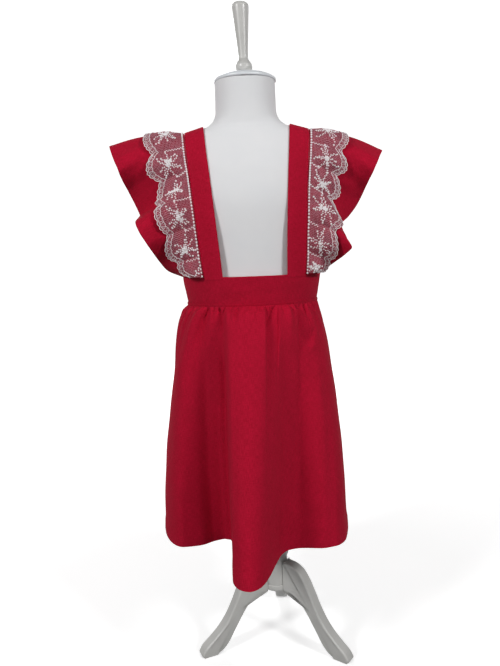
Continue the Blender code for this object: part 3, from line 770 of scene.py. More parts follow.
def combined(node, operation, *values):
    """Numbers put together by one operation."""
    inputs = {f"i{k}": value for k, value in enumerate(values)}
    return node("Math", {"operation": operation}, **inputs).outputs[0]


def mixed(node, factor, low, high):
    """A colour from low to high by factor; low and high are colours or sockets."""
    made = node("Mix", {"data_type": "RGBA"}, i0=factor)
    for socket, value in ((made.inputs[MIX_LOW], low), (made.inputs[MIX_HIGH], high)):
        if isinstance(value, bpy.types.NodeSocket):
            made.id_data.links.new(value, socket)
        else:
            socket.default_value = (*value, 1)
    return made.outputs[MIX_RESULT]


def spread(node, value, low, high, to_low=0.0, to_high=1.0):
    """Value from low..high to to_low..to_high, held at the ends."""
    return node("MapRange", i0=value, i1=low, i2=high, i3=to_low, i4=to_high).outputs[0]


def thread_bands(node, place, direction, pitch):
    """Bands of threads across one direction of the cloth: a sine with the given pitch in metres."""
    scale = 2 * math.pi / (WAVE_NODE_PACE * pitch)
    settings = {"wave_type": "BANDS", "bands_direction": direction, "wave_profile": "SIN"}
    return node("TexWave", settings, Vector=place, Scale=scale, Distortion=0.0).outputs["Fac"]


def streaks(node, place, scale, detail=2.0):
    """Noise drawn out along one direction: thicker and thinner stretches of a thread or a brush mark."""
    return noise(node, node("Mapping", Vector=place, Scale=scale).outputs[0], 1.0, detail)


def red_cotton():
    """Matt crimson cotton: a plain weave of two thread bands, slubs along the threads, soft mottling."""
    look, node, finish = material("red_cotton", (0.45, 0.004, 0.024), 0.9, Specular_IOR_Level=0.06)
    place = cloth_place(node)
    weave = combined(node, "MAXIMUM", *[thread_bands(node, place, axis, WEAVE_PITCH) for axis in "XY"])
    slubs = [streaks(node, place, scale) for scale in ((150, 1300, 1), (1300, 130, 1))]
    threads = combined(node, "ADD", *slubs)
    mottle = noise(node, place, 38.0, 3.0, Roughness=0.6)
    worn = mixed(node, spread(node, mottle, 0.30, 0.72), (0.400, 0.0032, 0.0225), (0.485, 0.0050, 0.0305))
    threaded = mixed(node, spread(node, threads, 0.80, 1.20), (0.300, 0.0021, 0.016), (0.580, 0.0080, 0.041))
    joined = {
        "Base Color": mixed(node, 0.45, worn, threaded),
        "Roughness": spread(node, mottle, 0.2, 0.8, 0.84, 0.96),
    }
    finish(joined, combined(node, "MULTIPLY_ADD", threads, 0.6, weave), 0.35, 0.00016)
    return look


def lace_net():
    """Fine tulle over the red cloth: pale threads along the edges of small cells, cloth seen between."""
    look, node, finish = material("lace_net", (0.40, 0.05, 0.08), 0.8, Specular_IOR_Level=0.25)
    place = cloth_place(node)
    settings = {"feature": "DISTANCE_TO_EDGE"}
    cells = node("TexVoronoi", settings, Vector=place, Scale=480.0, Randomness=0.35).outputs["Distance"]
    thread = spread(node, cells, 0.075, 0.035)
    cloud = spread(node, noise(node, place, 90.0, 2.0), 0.3, 0.7)
    behind = mixed(node, cloud, (0.15, 0.004, 0.013), (0.27, 0.009, 0.026))
    finish({"Base Color": mixed(node, thread, behind, (0.66, 0.34, 0.42))}, thread, 0.5, 0.00012)
    return look


def white_thread():
    """Soft white embroidery cotton with fine twisted plies."""
    sockets = {"Specular_IOR_Level": 0.35, "Sheen_Weight": 0.15}
    look, node, finish = material("embroidery_thread", (0.86, 0.84, 0.85), 0.62, **sockets)
    plies = noise(node, node("TexCoord").outputs["Object"], 1500.0, 2.0)
    colour = mixed(node, spread(node, plies, 0.32, 0.66), (0.76, 0.71, 0.73), (0.95, 0.93, 0.94))
    finish({"Base Color": colour}, plies, 0.5, 0.0002)
    return look


def stretch_cover():
    """White knitted cover drawn over the form: fine courses, faint mottling."""
    look, node, finish = material("form_cover", (0.815, 0.82, 0.83), 0.85, Specular_IOR_Level=0.2)
    place = cloth_place(node)
    bands = [thread_bands(node, place, axis, pitch) for axis, pitch in (("Y", 0.0010), ("X", 0.0012))]
    mottle = noise(node, node("TexCoord").outputs["Object"], 30.0, 3.0)
    colour = mixed(node, spread(node, mottle, 0.2, 0.8), (0.80, 0.805, 0.82), (0.83, 0.83, 0.84))
    finish({"Base Color": colour}, combined(node, "MULTIPLY", *bands), 0.25, 0.0002)
    return look


def painted_wood(name, pale, dark):
    """White paint over wood: faint brush marks along the grain, soft wear of tone, a slight gloss."""
    sockets = {"Specular_IOR_Level": 0.45, "Coat_Weight": 0.10, "Coat_Roughness": 0.18}
    look, node, finish = material(name, pale, 0.34, **sockets)
    place = node("TexCoord").outputs["Object"]
    grain = streaks(node, place, (420, 420, 26), 3.0)
    tone = spread(node, noise(node, place, 24.0, 3.0), 0.32, 0.70)
    rough = spread(node, grain, 0.3, 0.7, 0.28, 0.42)
    finish({"Base Color": mixed(node, tone, dark, pale), "Roughness": rough}, grain, 0.12, 0.0003)
    return look


RED = red_cotton()
NET = lace_net()
THREAD = white_thread()
COVER = stretch_cover()
PAINT = painted_wood("white_paint", (0.57, 0.565, 0.545), (0.51, 0.505, 0.485))
# The neck cap's paint is a paler, cooler copy of the stand's white paint. It is painted light: it stands in
# for the stronger light from above that falls on the up-facing cap.
LIT_CAP_PAINT = painted_wood("cap_paint_painted_lit", (0.76, 0.79, 0.82), (0.70, 0.73, 0.76))


# ---------- skirt ----------
def hem_stations():
    """How far round the hem each row of its table lies, as a fraction of the whole, and the whole."""
    station = distance_along(HEM["x"], HEM["y"])
    return station / station[-1], station[-1]


HEM_STATIONS, HEM_ROUND = hem_stations()


def round_the_hem(key, u, turn=0.0):
    """A column of the hem's table at u, smooth across the centre back, where it grows by turn."""
    value = HEM[key]
    stations = np.concatenate([HEM_STATIONS[-3:-1] - 1, HEM_STATIONS, HEM_STATIONS[1:3] + 1])
    values = np.concatenate([value[-3:-1] - turn, value, value[1:3] + turn])
    return smooth(stations, values, u)


def gathered(angle, drop):
    """Inward depth of the gathers: each a narrow bell, exp(-|off / width|^GATHER_POWER), across the
    angle, with its own width on either side, which widens downwards and fades as exp(-down^2)."""
    total = 0 * angle
    for at, depth, left, right, length, lean in zip(*GATHERS.values()):
        down = drop / length
        off = past_whole_turns(angle - at - lean * down)
        width = np.where(off < 0, left, right) * (1 + GATHER_WIDENING * down)
        bell = np.exp(-((np.abs(off) / width) ** GATHER_POWER))
        total = total + depth * bell * ease(drop / GATHER_START) * np.exp(-(down**2))
    return total


def raised(angle, drop):
    """Outward height of the raised panels: each level between two smooth steps, one at either edge,
    and fading downwards as exp(-down^2)."""
    total = 0 * angle
    for low, high, step, height, length, low_lean, high_lean in zip(*RAISED.values()):
        down = drop / length
        past_low = past_whole_turns(angle - low - low_lean * down)
        before_high = past_whole_turns(high + high_lean * down - angle)
        inside = ease(past_low / step) * ease(before_high / step)
        total = total + height * inside * ease(drop / RAISED_START) * np.exp(-(down**2))
    return total


def dented(angle, drop):
    """Outward height of the dent: an oval bell inwards, whose ends rise with off^2 so that it sags, and
    a narrower, lower bell outwards for the lip below it."""
    off = (angle - DENT["angle"]) / DENT["half_angle"]
    below = (drop - DENT["drop"]) / DENT["half_drop"] + DENT_SAG * off**2 - DENT_RISE
    hollow = -DENT["depth"] * np.exp(-(off**2) - below**2)
    past_lip = DENT_LIP["narrow"] * (below - DENT_LIP["below"])
    return hollow + DENT_LIP["share"] * DENT["depth"] * np.exp(-(off**2) - past_lip**2)


def puckered(degrees, drop):
    """Outward height of the small puckers right under the band: |sin|^PUCKER_POWER less PUCKER_SINK, so
    sharp valleys at the zeros of a sine whose pace and size vary round the band, gone a little way down."""
    share = degrees / 360
    turns = math.pi * PUCKERS_ROUND * share + PUCKER_WANDER * waves("pucker_place", share)
    turns = turns + PUCKER_SLANT * drop * waves("pucker_slant", share)
    size = PUCKER_SIZE + PUCKER_SIZE_RANGE * waves("pucker_size", share)
    length = PUCKER_LENGTH * (1 + PUCKER_LENGTH_RANGE * waves("pucker_length", share))
    fade = ease(drop / PUCKER_START) * np.exp(-((drop / length) ** 2))
    return PUCKER_DEPTH * size * (np.abs(np.sin(turns)) ** PUCKER_POWER - PUCKER_SINK) * fade


def soft_folds(angle, drop):
    """Outward height of the long soft folds: wide bells, exp(-(off / width)^2), that rise and fall
    smoothly between two drops."""
    total = 0 * angle
    for at, height, width, start, end in zip(*SOFT_FOLDS.values()):
        off = past_whole_turns(angle - at)
        share = ease((drop - start) / SOFT_FOLD_RISE) * (1 - ease((drop - end) / SOFT_FOLD_RISE + 1))
        total = total + height * np.exp(-((off / width) ** 2)) * share
    return total


def skirt_surface(u, v):
    """The skirt's outer face: u runs round the hem from the centre back, v from the band to the hem.
    An oval grows downwards, the hem's folds grow with v^FOLD_GROWTH, and the gathers, panels, dent,
    puckers and soft folds are added along the oval's own direction."""
    degrees = round_the_hem("band_angle", u, 360.0)
    angle = np.radians(degrees)
    drop = v * SKIRT_LENGTH
    reaches = "left right front back"
    x, y = around(angle, *read(SKIRT, reaches, drop))
    hem_x, hem_y = around(angle, *[SKIRT[key][-1] for key in reaches.split()])
    growth = v**FOLD_GROWTH
    x = x + growth * (round_the_hem("x", u) - hem_x)
    y = y + growth * (round_the_hem("y", u) - hem_y)
    uneven = waves("skirt", u * SKIRT_WAVES_ROUND, v) * SKIRT_UNEVENNESS * ease(v * SKIRT_WAVES_GROWTH)
    out = soft_folds(degrees, drop) + raised(degrees, drop) + dented(degrees, drop)
    out = out - gathered(degrees, drop) + uneven + puckered(degrees, drop)
    x = x + out * np.sin(angle)
    y = y - out * np.cos(angle)
    top = BAND_BOTTOM - SEAM_GAP
    z = top - v * (top - round_the_hem("height", u))
    return stacked(x, y, z)


def skirt_normals(u, v):
    """Unit normals of the skirt's outer face, from small steps along u and v."""
    along = skirt_surface(u + SKIRT_STEP, v) - skirt_surface(u - SKIRT_STEP, v)
    below, above = np.minimum(v + SKIRT_STEP, 1), np.maximum(v - SKIRT_STEP, 0)
    down = skirt_surface(u, below) - skirt_surface(u, above)
    return unit(np.cross(along, down))


def seamed(outer, inner, gap, groove):
    """Draws a panel's two end columns in by half the gap of a seam, and sinks its face there."""
    for end, beside in ((0, 1), (-1, -2)):
        inward = unit(outer[:, beside] - outer[:, end]) * gap / 2
        sunk = unit(inner[:, end] - outer[:, end]) * groove
        outer[:, end] += inward + sunk
        inner[:, end] += inward
    return outer, inner


def tucked(outer, inner):
    """Adds rows above a panel's top, each a rise up and a depth in, which run up inside the folded
    band."""
    into = unit((inner - outer)[:1] * [1, 1, 0])
    outer_above, inner_above = (
        [face[:1] + into * depth + [0, 0, rise] for rise, depth in TUCKED_ROWS] for face in (outer, inner)
    )
    return np.concatenate([*outer_above, outer]), np.concatenate([*inner_above, inner])


def skirt_panel(name, start_angle, end_angle, columns, rows):
    """One panel between two seams: the outer face, an inner face a cloth's thickness in, twice that
    over the turned-up hem; its uv is the flat cut, a rectangle of the hem's width."""
    start, end = np.interp([start_angle, end_angle], HEM["band_angle"], HEM_STATIONS)
    drops = np.linspace(0, 1, rows) ** ROW_CROWDING
    v, u = np.meshgrid(drops, np.linspace(start, end, columns), indexing="ij")
    outer = skirt_surface(u, v)
    turned_up = ease((v * SKIRT_LENGTH - SKIRT_LENGTH + HEM_DEPTH) / HEM_STEP)
    inner = outer - (SKIRT_CLOTH * (1 + turned_up))[..., None] * skirt_normals(u, v)
    inner[0, :, 2] = outer[0, :, 2]
    outer, inner = tucked(*seamed(outer, inner, SKIRT_SEAM_GAP, SKIRT_SEAM_GROOVE))
    tucks = [[-rise] for rise, _ in TUCKED_ROWS]
    down = np.concatenate([tucks, drops[:, None] * SKIRT_LENGTH])
    uv = stacked(np.concatenate([u[:2], u]) * HEM_ROUND, down)
    made = piece(name, wall(outer, inner, uv), RED, [name])


# ---------- waistband ----------
def band_outline(angle, height):
    """The band's outer face: an oval whose reaches follow the band's table."""
    side, front, back = read(BAND, "side front back", height)
    x, y = around(angle, side, side, front, back)
    return stacked(x, y, height)


def flat_profile(half_width, thickness, crown, steps, edge_steps=4):
    """Cross-section of a pressed, folded strip as (across, out): a crowned face, a round edge, a flat
    back and a round edge, half_width to each side."""
    radius = thickness / 2
    face = np.linspace(-1, 1, steps)
    over = (half_width - radius) * face
    top = stacked(over, thickness + crown * (1 - face**2))
    turn = np.linspace(0, math.pi, edge_steps + 2)[1:-1]
    right = stacked(half_width - radius + radius * np.sin(turn), radius + radius * np.cos(turn))
    return np.concatenate([top, right, stacked(over[::-1], 0), right[::-1] * [-1, 1]])


def band_piece(name, start_angle, end_angle, columns):
    """The folded waistband: its profile carried round the oval, crowned a little, with faint drag lines
    above the gathers and a soft unevenness."""
    half = (BAND_TOP - BAND_BOTTOM) / 2
    profile = flat_profile(half, BAND_CLOTH, BAND_CROWN, BAND_FACE_POINTS)
    angles = np.radians(np.linspace(start_angle, end_angle, columns))
    angle, across = np.meshgrid(angles, profile[:, 0], indexing="ij")
    height = (BAND_TOP + BAND_BOTTOM) / 2 + across
    direction = stacked(np.sin(angle), -np.cos(angle), 0)
    low = (BAND_TOP - height) / (2 * half)
    drag = waves("band_drag", angle) * BAND_DRAG * low**2
    soft = waves("band", angle, height * BAND_WAVES_UP) * BAND_SOFTNESS
    lift = profile[None, :, 1]
    out = lift - BAND_CLOTH - BAND_CROWN + np.where(lift > 0, drag + soft, 0)
    points = band_outline(angle, height) + out[..., None] * direction
    for end, beside in ((0, 1), (-1, -2)):
        points[end] += unit(points[beside] - points[end]) * SEAM_GAP / 2
    uv = stacked(angle * BAND["side"][-1], across)
    made = piece(name, tube(points, uv), RED, [name])


# ---------- straps ----------
def form_reach(x, angle):
    """Distance from the chest's centre line to the form's skin, in the plane of x, along the angle:
    the crossing is halved down between near and far."""
    near = np.zeros(np.broadcast(x, angle).shape)
    far = near + FARTHEST_SKIN
    for _ in range(HALVINGS):
        middle = (near + far) / 2
        y = -middle * np.cos(angle)
        z = CHEST_HEIGHT + middle * np.sin(angle)
        side, front, back = read(FORM, "side front back", z)
        depth = np.where(y < 0, front, back)
        inside = np.abs(x / side) ** FORM_SQUARENESS + np.abs(y / depth) ** FORM_SQUARENESS < 1
        near = np.where(inside, middle, near)
        far = np.where(inside, far, middle)
    return near


def strap_surface(side_name, along, across):
    """The face of a strap that lies on the form: along runs 0 to 1 from the front band over the shoulder
    to the back band, across runs -1 to 1 from the neck side to the arm side. It follows the form's skin
    and settles onto the band's back face near its two ends."""
    strap = STRAPS[side_name]
    side, low, high, back = (strap[key] for key in ("side", "front_band", "shoulder", "back_band"))
    nearer_end = np.where(along < 0.5, low, back)
    centre = high - (high - nearer_end) * (1 - (1 - np.abs(2 * along - 1)) ** strap["bend"])
    x = side * (centre + across * STRAP_WIDTH / 2)
    angle = STRAP_LOW_ANGLE + along * (math.pi - 2 * STRAP_LOW_ANGLE)
    reach = form_reach(x, angle) + STRAP_CLEARANCE
    y = -reach * np.cos(angle)
    z = CHEST_HEIGHT + reach * np.sin(angle)
    high_angle = math.pi - STRAP_LOW_ANGLE
    band = {key: BAND[key][-1] - STRAP_BEHIND_BAND for key in ("side", "front", "back")}
    ends = ((0.0, low, -band["front"], STRAP_LOW_ANGLE), (1.0, back, band["back"], high_angle))
    for end, end_centre, depth, end_angle in ends:
        end_x = side * (end_centre + across * STRAP_WIDTH / 2)
        end_reach = form_reach(end_x, end_angle) + STRAP_CLEARANCE
        on_band = depth * np.sqrt(1 - (end_x / band["side"]) ** 2)
        share = 1 - ease(np.abs(along - end) / STRAP_SETTLE)
        y = y + share * (on_band + end_reach * np.cos(end_angle))
        z = z + share * (BAND_TOP + SEAM_GAP - CHEST_HEIGHT - end_reach * np.sin(end_angle))
    return stacked(x, y, z)


def strap_directions(side_name, along, at, beside, step):
    """A strap's directions across and out at each station of the line at: the difference between the
    places beside it, and its cross product with the difference between steps ahead and back."""
    low, high = (strap_surface(side_name, along, place) for place in beside)
    across = unit(high - low)
    ahead = strap_surface(side_name, np.minimum(along + step, 1), at)
    forward = ahead - strap_surface(side_name, np.maximum(along - step, 0), at)
    return across, unit(STRAPS[side_name]["side"] * np.cross(across, forward))


def strap(side_name):
    """A folded strap: its flat profile carried along the path over the shoulder, its ends run on into
    the band."""
    profile = flat_profile(1.0, STRAP_CLOTH, STRAP_CROWN, STRAP_FACE_POINTS)
    stations = np.linspace(0, 1, STRAP_ROWS)
    along, across = np.meshgrid(stations, profile[:, 0], indexing="ij")
    surface = strap_surface(side_name, along, across)
    _, out = strap_directions(side_name, stations, 0, STRAP_BESIDE, STRAP_STEP)
    soft = waves("strap", along, across * STRAP_WAVES_ACROSS) * STRAP_SOFTNESS
    lift = profile[None, :, 1] + np.where(profile[None, :, 1] > 0, soft, 0)
    points = surface + lift[..., None] * out[:, None, :]
    points[[0, -1], :, 2] = BAND_TOP + SEAM_GAP
    length = np.linalg.norm(np.diff(surface[:, 0], axis=0), axis=1).sum()
    uv = stacked(along * length, across * STRAP_WIDTH / 2)
    sunk = [0, 0, TUCK]
    points = np.concatenate([points[:1] - sunk, points, points[-1:] - sunk])
    uv = np.concatenate([uv[:1] - [TUCK, 0], uv, uv[-1:] + [TUCK, 0]])
    name = f"strap_{side_name}"
    made = piece(name, tube(points, uv), RED, [name])


# ---------- wings ----------
def strap_edge(side_name, along):
    """The line where a wing starts: beside the strap's arm-side edge, halfway through its cloth."""
    across, out = strap_directions(side_name, along, 1, STRAP_EDGE_BESIDE, STRAP_EDGE_STEP)
    return strap_surface(side_name, along, 1) + WING_START * across + STRAP_CLOTH / 2 * out


def seam_lines():
    """Each wing's seam at evenly spaced stations, worked out once."""
    stations = np.linspace(0, 1, SEAM_STATIONS)
    return stations, {side_name: strap_edge(side_name, stations) for side_name in STRAPS}


STATIONS, SEAMS = seam_lines()


def wing_middle(side_name, along, across):
    """The middle of a wing's cloth: along runs -1 to 1 from the front band over the shoulder to the back
    band, across runs from the strap's edge (0) to the free edge (1). A line joins the seam to the free
    edge, its depth by across^WING_SWEEP, bowed outwards by a half sine, with soft troughs across it, each
    exp(-(off / width)^2) along and a half sine of across^WING_FOLD_POWER."""
    side = STRAPS[side_name]["side"]
    edge = WINGS[side_name]
    far = np.abs(along)
    rounded = np.sqrt(far**2 + SHOULDER_ROUND**2)
    reach, height = read(edge, "reach height", rounded)
    forward = read(edge, "forward", far)[0]
    free = stacked(side * reach, np.sign(along) * forward, height)
    station = (along + 1) / 2
    seam = stacked(*[np.interp(station, STATIONS, axis) for axis in SEAMS[side_name].T])
    turn = along * math.pi / 2
    out = unit(stacked(WING_OUTWARD * side, np.sin(turn), np.cos(turn)))
    bow = np.sin(math.pi * across)
    trough = np.sin(math.pi * across**WING_FOLD_POWER)
    lift = WING_BOW * bow
    for at, depth, width in zip(*WING_FOLDS[side_name].values()):
        lift = lift - depth * np.exp(-(((along - at) / width) ** 2)) * trough
    lift = lift + WING_SOFTNESS * waves("wing", along, across * WING_WAVES_ACROSS) * bow
    share = stacked(across, across**WING_SWEEP, across)
    return seam * (1 - share) + free * share + out * lift[..., None]


def wing_point(side_name, along, across, offset):
    """A point of the wing moved out along its normal by offset, kept above the waistband, and the normal,
    which comes from small steps along and across."""
    along_low, along_high = np.maximum(along - WING_STEP, -1), np.minimum(along + WING_STEP, 1)
    across_low = np.maximum(across - WING_ACROSS_STEP, 0)
    across_high = np.minimum(across + WING_ACROSS_STEP, 1)
    down = wing_middle(side_name, along_high, across) - wing_middle(side_name, along_low, across)
    over = wing_middle(side_name, along, across_high) - wing_middle(side_name, along, across_low)
    facing = unit(np.cross(over, down)) * STRAPS[side_name]["side"]
    point = wing_middle(side_name, along, across) + np.asarray(offset)[..., None] * facing
    point[..., 2] = np.maximum(point[..., 2], BAND_TOP + SEAM_GAP)
    return point, facing


def wing_width(side_name, along):
    """The straight distance from the seam to the free edge at each station."""
    ends = wing_middle(side_name, along, 1.0) - wing_middle(side_name, along, 0.0)
    return np.linalg.norm(ends, axis=-1)


def wing(side_name):
    """A wing: two layers of its surface, half as thick again over the narrow turned hem at the free edge."""
    stations = np.linspace(-1, 1, WING_ROWS)
    width = wing_width(side_name, stations)[:, None]
    along, across = np.meshgrid(stations, np.linspace(0, 1, WING_COLUMNS) ** WING_CROWDING, indexing="ij")
    past_hem = ease(((1 - across) * width - WING_HEM) / WING_HEM_STEP)
    half = WING_CLOTH / 2 * (1 + 0.5 * (1 - past_hem))
    outer, _ = wing_point(side_name, along, across, half)
    inner, _ = wing_point(side_name, along, across, -half)
    shape = wall(outer, inner, stacked(along * METRES_PER_STATION, across * width))
    name = f"wing_{side_name}"
    made = piece(name, shape, RED, [name])


# ---------- lace ----------
def scallop(side_name, along):
    """0 at a scallop's peak and 1 at the notch between two scallops: 1 - |sin| of the notches counted."""
    notches = LACE_NOTCHES[side_name]
    return 1 - np.abs(np.sin(math.pi * np.interp(np.abs(along), notches, range(len(notches)))))


def lace_reach(side_name, along):
    """The lace's width at each station: its table, cut back between the scallops, within the wing's."""
    cut_back = SCALLOP_DEPTH * scallop(side_name, along) ** SCALLOP_POWER
    width = smooth(LACE["along"], LACE["width"], np.abs(along)) * (1 - cut_back)
    return np.minimum(width, LACE_MOST * wing_width(side_name, along))


def lace_point(side_name, along, width, lift):
    """A point on the lace, width metres from the seam, lifted off the wing, and its normal: it lies close
    at the seam and billows as |sin| between the creases that run from the seam to each valley of the
    edge, soon at its full height, which falls a little again to the edge."""
    whole = wing_width(side_name, along)
    share = np.clip(width / lace_reach(side_name, along), 0, 1)
    rise = np.sin(math.pi / 2 * np.minimum(1, LACE_RISE * share)) ** LACE_RISE_POWER
    rise = rise * (1 - LACE_EDGE_FALL * share**2)
    billow = LACE_BILLOW * (1 - scallop(side_name, along)) ** LACE_CREASE_POWER * rise
    billow = billow + LACE_SOFTNESS * share * (1 + waves("lace", along, width * LACE_WAVES_ACROSS))
    base = WING_CLOTH / 2 + LACE_OFF_WING
    return wing_point(side_name, along, width / whole, base + billow + lift)


def lace_sheet(side_name):
    """The net: two close layers from the seam to the scalloped, picoted edge; its uv is metres of lace."""
    stations = np.linspace(-1, 1, LACE_ROWS)
    picots = PICOT_DEPTH * np.abs(np.sin(math.pi * stations * METRES_PER_STATION / PICOT_PITCH))
    reach = lace_reach(side_name, stations) + picots
    along, share = np.meshgrid(stations, np.linspace(0, 1, LACE_COLUMNS), indexing="ij")
    width = LACE_START + share * (reach[:, None] - LACE_START)
    outer, _ = lace_point(side_name, along, width, LACE_CLOTH)
    inner, _ = lace_point(side_name, along, width, 0)
    return wall(outer, inner, stacked(along * METRES_PER_STATION, width))


def cord(points, facing, radius, sides=6):
    """A thread along a path: a ring of radius round each point, in the plane of its facing and the
    direction square to facing and path."""
    forward = unit(np.gradient(points, axis=0))
    beside = unit(np.cross(facing, forward))
    turn = full_turn(sides)[:, None]
    ring = np.cos(turn) * facing[:, None, :] + np.sin(turn) * beside[:, None, :]
    rings = points[:, None, :] + radius * ring
    return tube(rings, np.zeros((len(points), sides, 2)))


def knots(points, facing, forward, length, width, height, sides=6):
    """Small domed stitches: each a ring on the cloth, a smaller ring above it and a top, closed below."""
    forward = unit(forward - (forward * facing).sum(-1, keepdims=True) * facing)
    beside = np.cross(facing, forward)
    turn = full_turn(sides)
    inner, rise = KNOT_SHOULDER
    low = stacked(np.cos(turn), np.sin(turn), 0)
    high = stacked(inner * np.cos(turn), inner * np.sin(turn), rise)
    dome = np.concatenate([low, high, [[0, 0, 1.0]]])
    scale = stacked(length, width, height)[:, None, :]
    axes = np.stack([forward, beside, facing], axis=1)
    made = points[:, None, :] + np.einsum("nkc,ncd->nkd", dome[None] * scale, axes)
    ring = np.arange(sides)
    following = np.roll(ring, -1)
    above, above_following = ring + sides, following + sides
    lower, upper = stacked(ring, following, above_following), stacked(ring, above_following, above)
    cap = stacked(above, above_following, 2 * sides)
    floor = [[0, k + 1, k] for k in range(1, sides - 1)]
    faces = np.concatenate([lower, upper, cap, floor])
    firsts = np.arange(len(points)) * len(dome)
    all_faces = (faces[None] + firsts[:, None, None]).reshape(-1, 3)
    return made.reshape(-1, 3), all_faces, np.zeros((len(points) * len(dome), 2))


def stitched_line(side_name, along, width, radius):
    """A cord laid on the lace through stations and widths."""
    points, facing = lace_point(side_name, along, width, LACE_CLOTH + THREAD_LIFT)
    return cord(points, facing, radius)


def stitched_dots(side_name, along, width, size, height=KNOT_HEIGHT, stretch=1.0):
    """Knots on the lace at stations and widths; size is each one's half width."""
    points, facing = lace_point(side_name, along, width, LACE_CLOTH)
    ahead, _ = lace_point(side_name, along + KNOT_STEP, width, LACE_CLOTH)
    size = np.broadcast_to(size, along.shape)
    return knots(points, facing, ahead - points, size * stretch, size, size * height)


def zigzag(count):
    """1 and -1 in turn."""
    return (-1.0) ** np.arange(count)


def spray(side_name, centre, width, seed, scale):
    """One flower spray: a ragged blossom with a smaller one or two beside it, and beaded stems that
    leave them all round; the beads lie left and right of each stem in turn, so it looks curled."""
    rng = np.random.default_rng(seed)
    start = rng.uniform(0, 2 * math.pi)
    along, across, sizes = [], [], []
    beside = start + np.array(BESIDE_TURNS) + rng.uniform(-BESIDE_JITTER, BESIDE_JITTER, 3)
    blossoms = [(0.0, 0.0, 1.0)]
    for angle in beside[: 1 + seed % 3]:
        blossoms.append((BESIDE_REACH * math.cos(angle), BESIDE_REACH * math.sin(angle), BESIDE_SCALE))
    for x, y, size in blossoms:
        turn = rng.uniform(0, 2 * math.pi) + full_turn(PETALS)
        out = size * rng.uniform(*PETAL_REACH, PETALS)
        along += [x + out * np.cos(turn), [x]]
        across += [y + out * np.sin(turn), [y]]
        sizes += [[PETAL_SIZE * size] * PETALS, [HEART_SIZE * size]]
    turns = start + STEM_TURN + full_turn(STEMS) + rng.uniform(-STEM_JITTER, STEM_JITTER, STEMS)
    for k, turn in enumerate(turns):
        length = rng.uniform(*STEM_LENGTH) * STEM_SCALES[k % 2] * scale
        reach = np.arange(STEM_START, length, STEM_PITCH)
        angle = turn + (STEM_BEND if k % 3 else -STEM_BEND) * (reach / length) ** 2
        wiggle = STEM_WIGGLE * zigzag(len(reach))
        along.append(reach * np.cos(angle) - wiggle * np.sin(angle))
        across.append(reach * np.sin(angle) + wiggle * np.cos(angle))
        sizes.append(np.where(np.arange(len(reach)) == len(reach) - 1, STEM_END_SIZE, STEM_SIZE))
    along, across, sizes = (np.concatenate(v) for v in (along, across, sizes))
    station = centre + along / METRES_PER_STATION
    reach = width + across
    highest = lace_reach(side_name, station) - LACE_BORDER - SPRAY_MARGIN
    keep = (reach > SPRAY_LOWEST) & (reach < highest) & (np.abs(station) < STITCHED_TO)
    return stitched_dots(side_name, station[keep], reach[keep], sizes[keep], height=SPRAY_KNOT_HEIGHT)


def border_stitches(side_name):
    """Stitches along a lace's two edges: a beaded cord on the seam, three cords along the scallops, each
    at its inset and out by its wave at every picot, rings of knots, and two rows of single knots."""
    seam = np.linspace(-BEADED_TO, BEADED_TO, int(2 * METRES_PER_STATION / BEAD_PITCH))
    shapes = [stitched_dots(side_name, seam, BEAD_WIDTH, BEAD_SIZE, BEAD_HEIGHT, BEAD_STRETCH)]
    fine = np.linspace(-CORDED_TO, CORDED_TO, CORD_POINTS)
    metres = fine * METRES_PER_STATION
    picots = np.abs(np.sin(math.pi * metres / PICOT_PITCH))
    for inset, wave, radius in zip(*EDGE_CORDS.values()):
        reach = lace_reach(side_name, fine) - inset + wave * picots
        shapes.append(stitched_line(side_name, fine, reach, radius))

    def from_edge(stations, inset, size):
        return stitched_dots(side_name, stations, lace_reach(side_name, stations) - inset, size)

    for k in range(int(2 * STITCHED_TO * METRES_PER_STATION / PICOT_PITCH)):
        station = -STITCHED_TO + (k + 0.5) * PICOT_PITCH / METRES_PER_STATION
        ring = full_turn(RING_KNOTS) + k
        stations = station + RING_RADIUS * np.cos(ring) / METRES_PER_STATION
        shapes.append(from_edge(stations, RING_INSET + RING_RADIUS * np.sin(ring), RING_SIZE))
    for inset, size, start in zip(*DOT_ROWS.values()):
        stations = np.arange(-STITCHED_TO + start, STITCHED_TO, DOT_PITCH / METRES_PER_STATION)
        shapes.append(from_edge(stations, inset, size))
    return shapes


def embroidery(side_name):
    """All the stitching of one lace: its edges, a spray in each scallop and a curled, beaded stem at each
    crease, the same on both sides of the shoulder."""
    shapes = border_stitches(side_name)
    notches = LACE_NOTCHES[side_name]
    middles = [(low + high) / 2 + SPRAY_PAST_MIDDLE for low, high in zip(notches[:-1], notches[1:])]
    peaks = [sign * middle for middle in middles for sign in (-1, 1)]
    for k, peak in enumerate(peaks):
        reach = lace_reach(side_name, np.array([peak]))[0]
        middle = 0.5 * (reach - LACE_BORDER + SPRAY_SHIFT)
        scale = min(1.0, reach / SPRAY_ROOM)
        shapes.append(spray(side_name, peak, middle, SPRAY_SEEDS[side_name] + k, scale))
    for k, notch in enumerate(notches[1:-1]):
        reach = lace_reach(side_name, np.array([notch]))[0]
        widths = np.arange(CREASE_START, CREASE_REACHES[k % 2] * reach, CREASE_PITCH)
        curl = CREASE_CURL * np.sin(widths / reach * CREASE_TURN) + CREASE_WIGGLE * zigzag(len(widths))
        for sign in (-1, 1):
            stations = sign * notch + curl * sign / METRES_PER_STATION
            shapes.append(stitched_dots(side_name, stations, widths, CREASE_SIZE))
    return join(shapes)


def lace(side_name):
    """The net with its stitching."""
    shape = lace_sheet(side_name)
    name = f"lace_{side_name}"
    net = piece(name, shape, NET, [name])
    stitches = piece(f"{name}_embroidery", embroidery(side_name), THREAD)


# ---------- form and stand ----------
def lean_x(height):
    """The stand's axis: upright in the legs, leaning a little to -X above them."""
    return STAND_X - LEAN * np.maximum(0, height - LEAN_FROM)


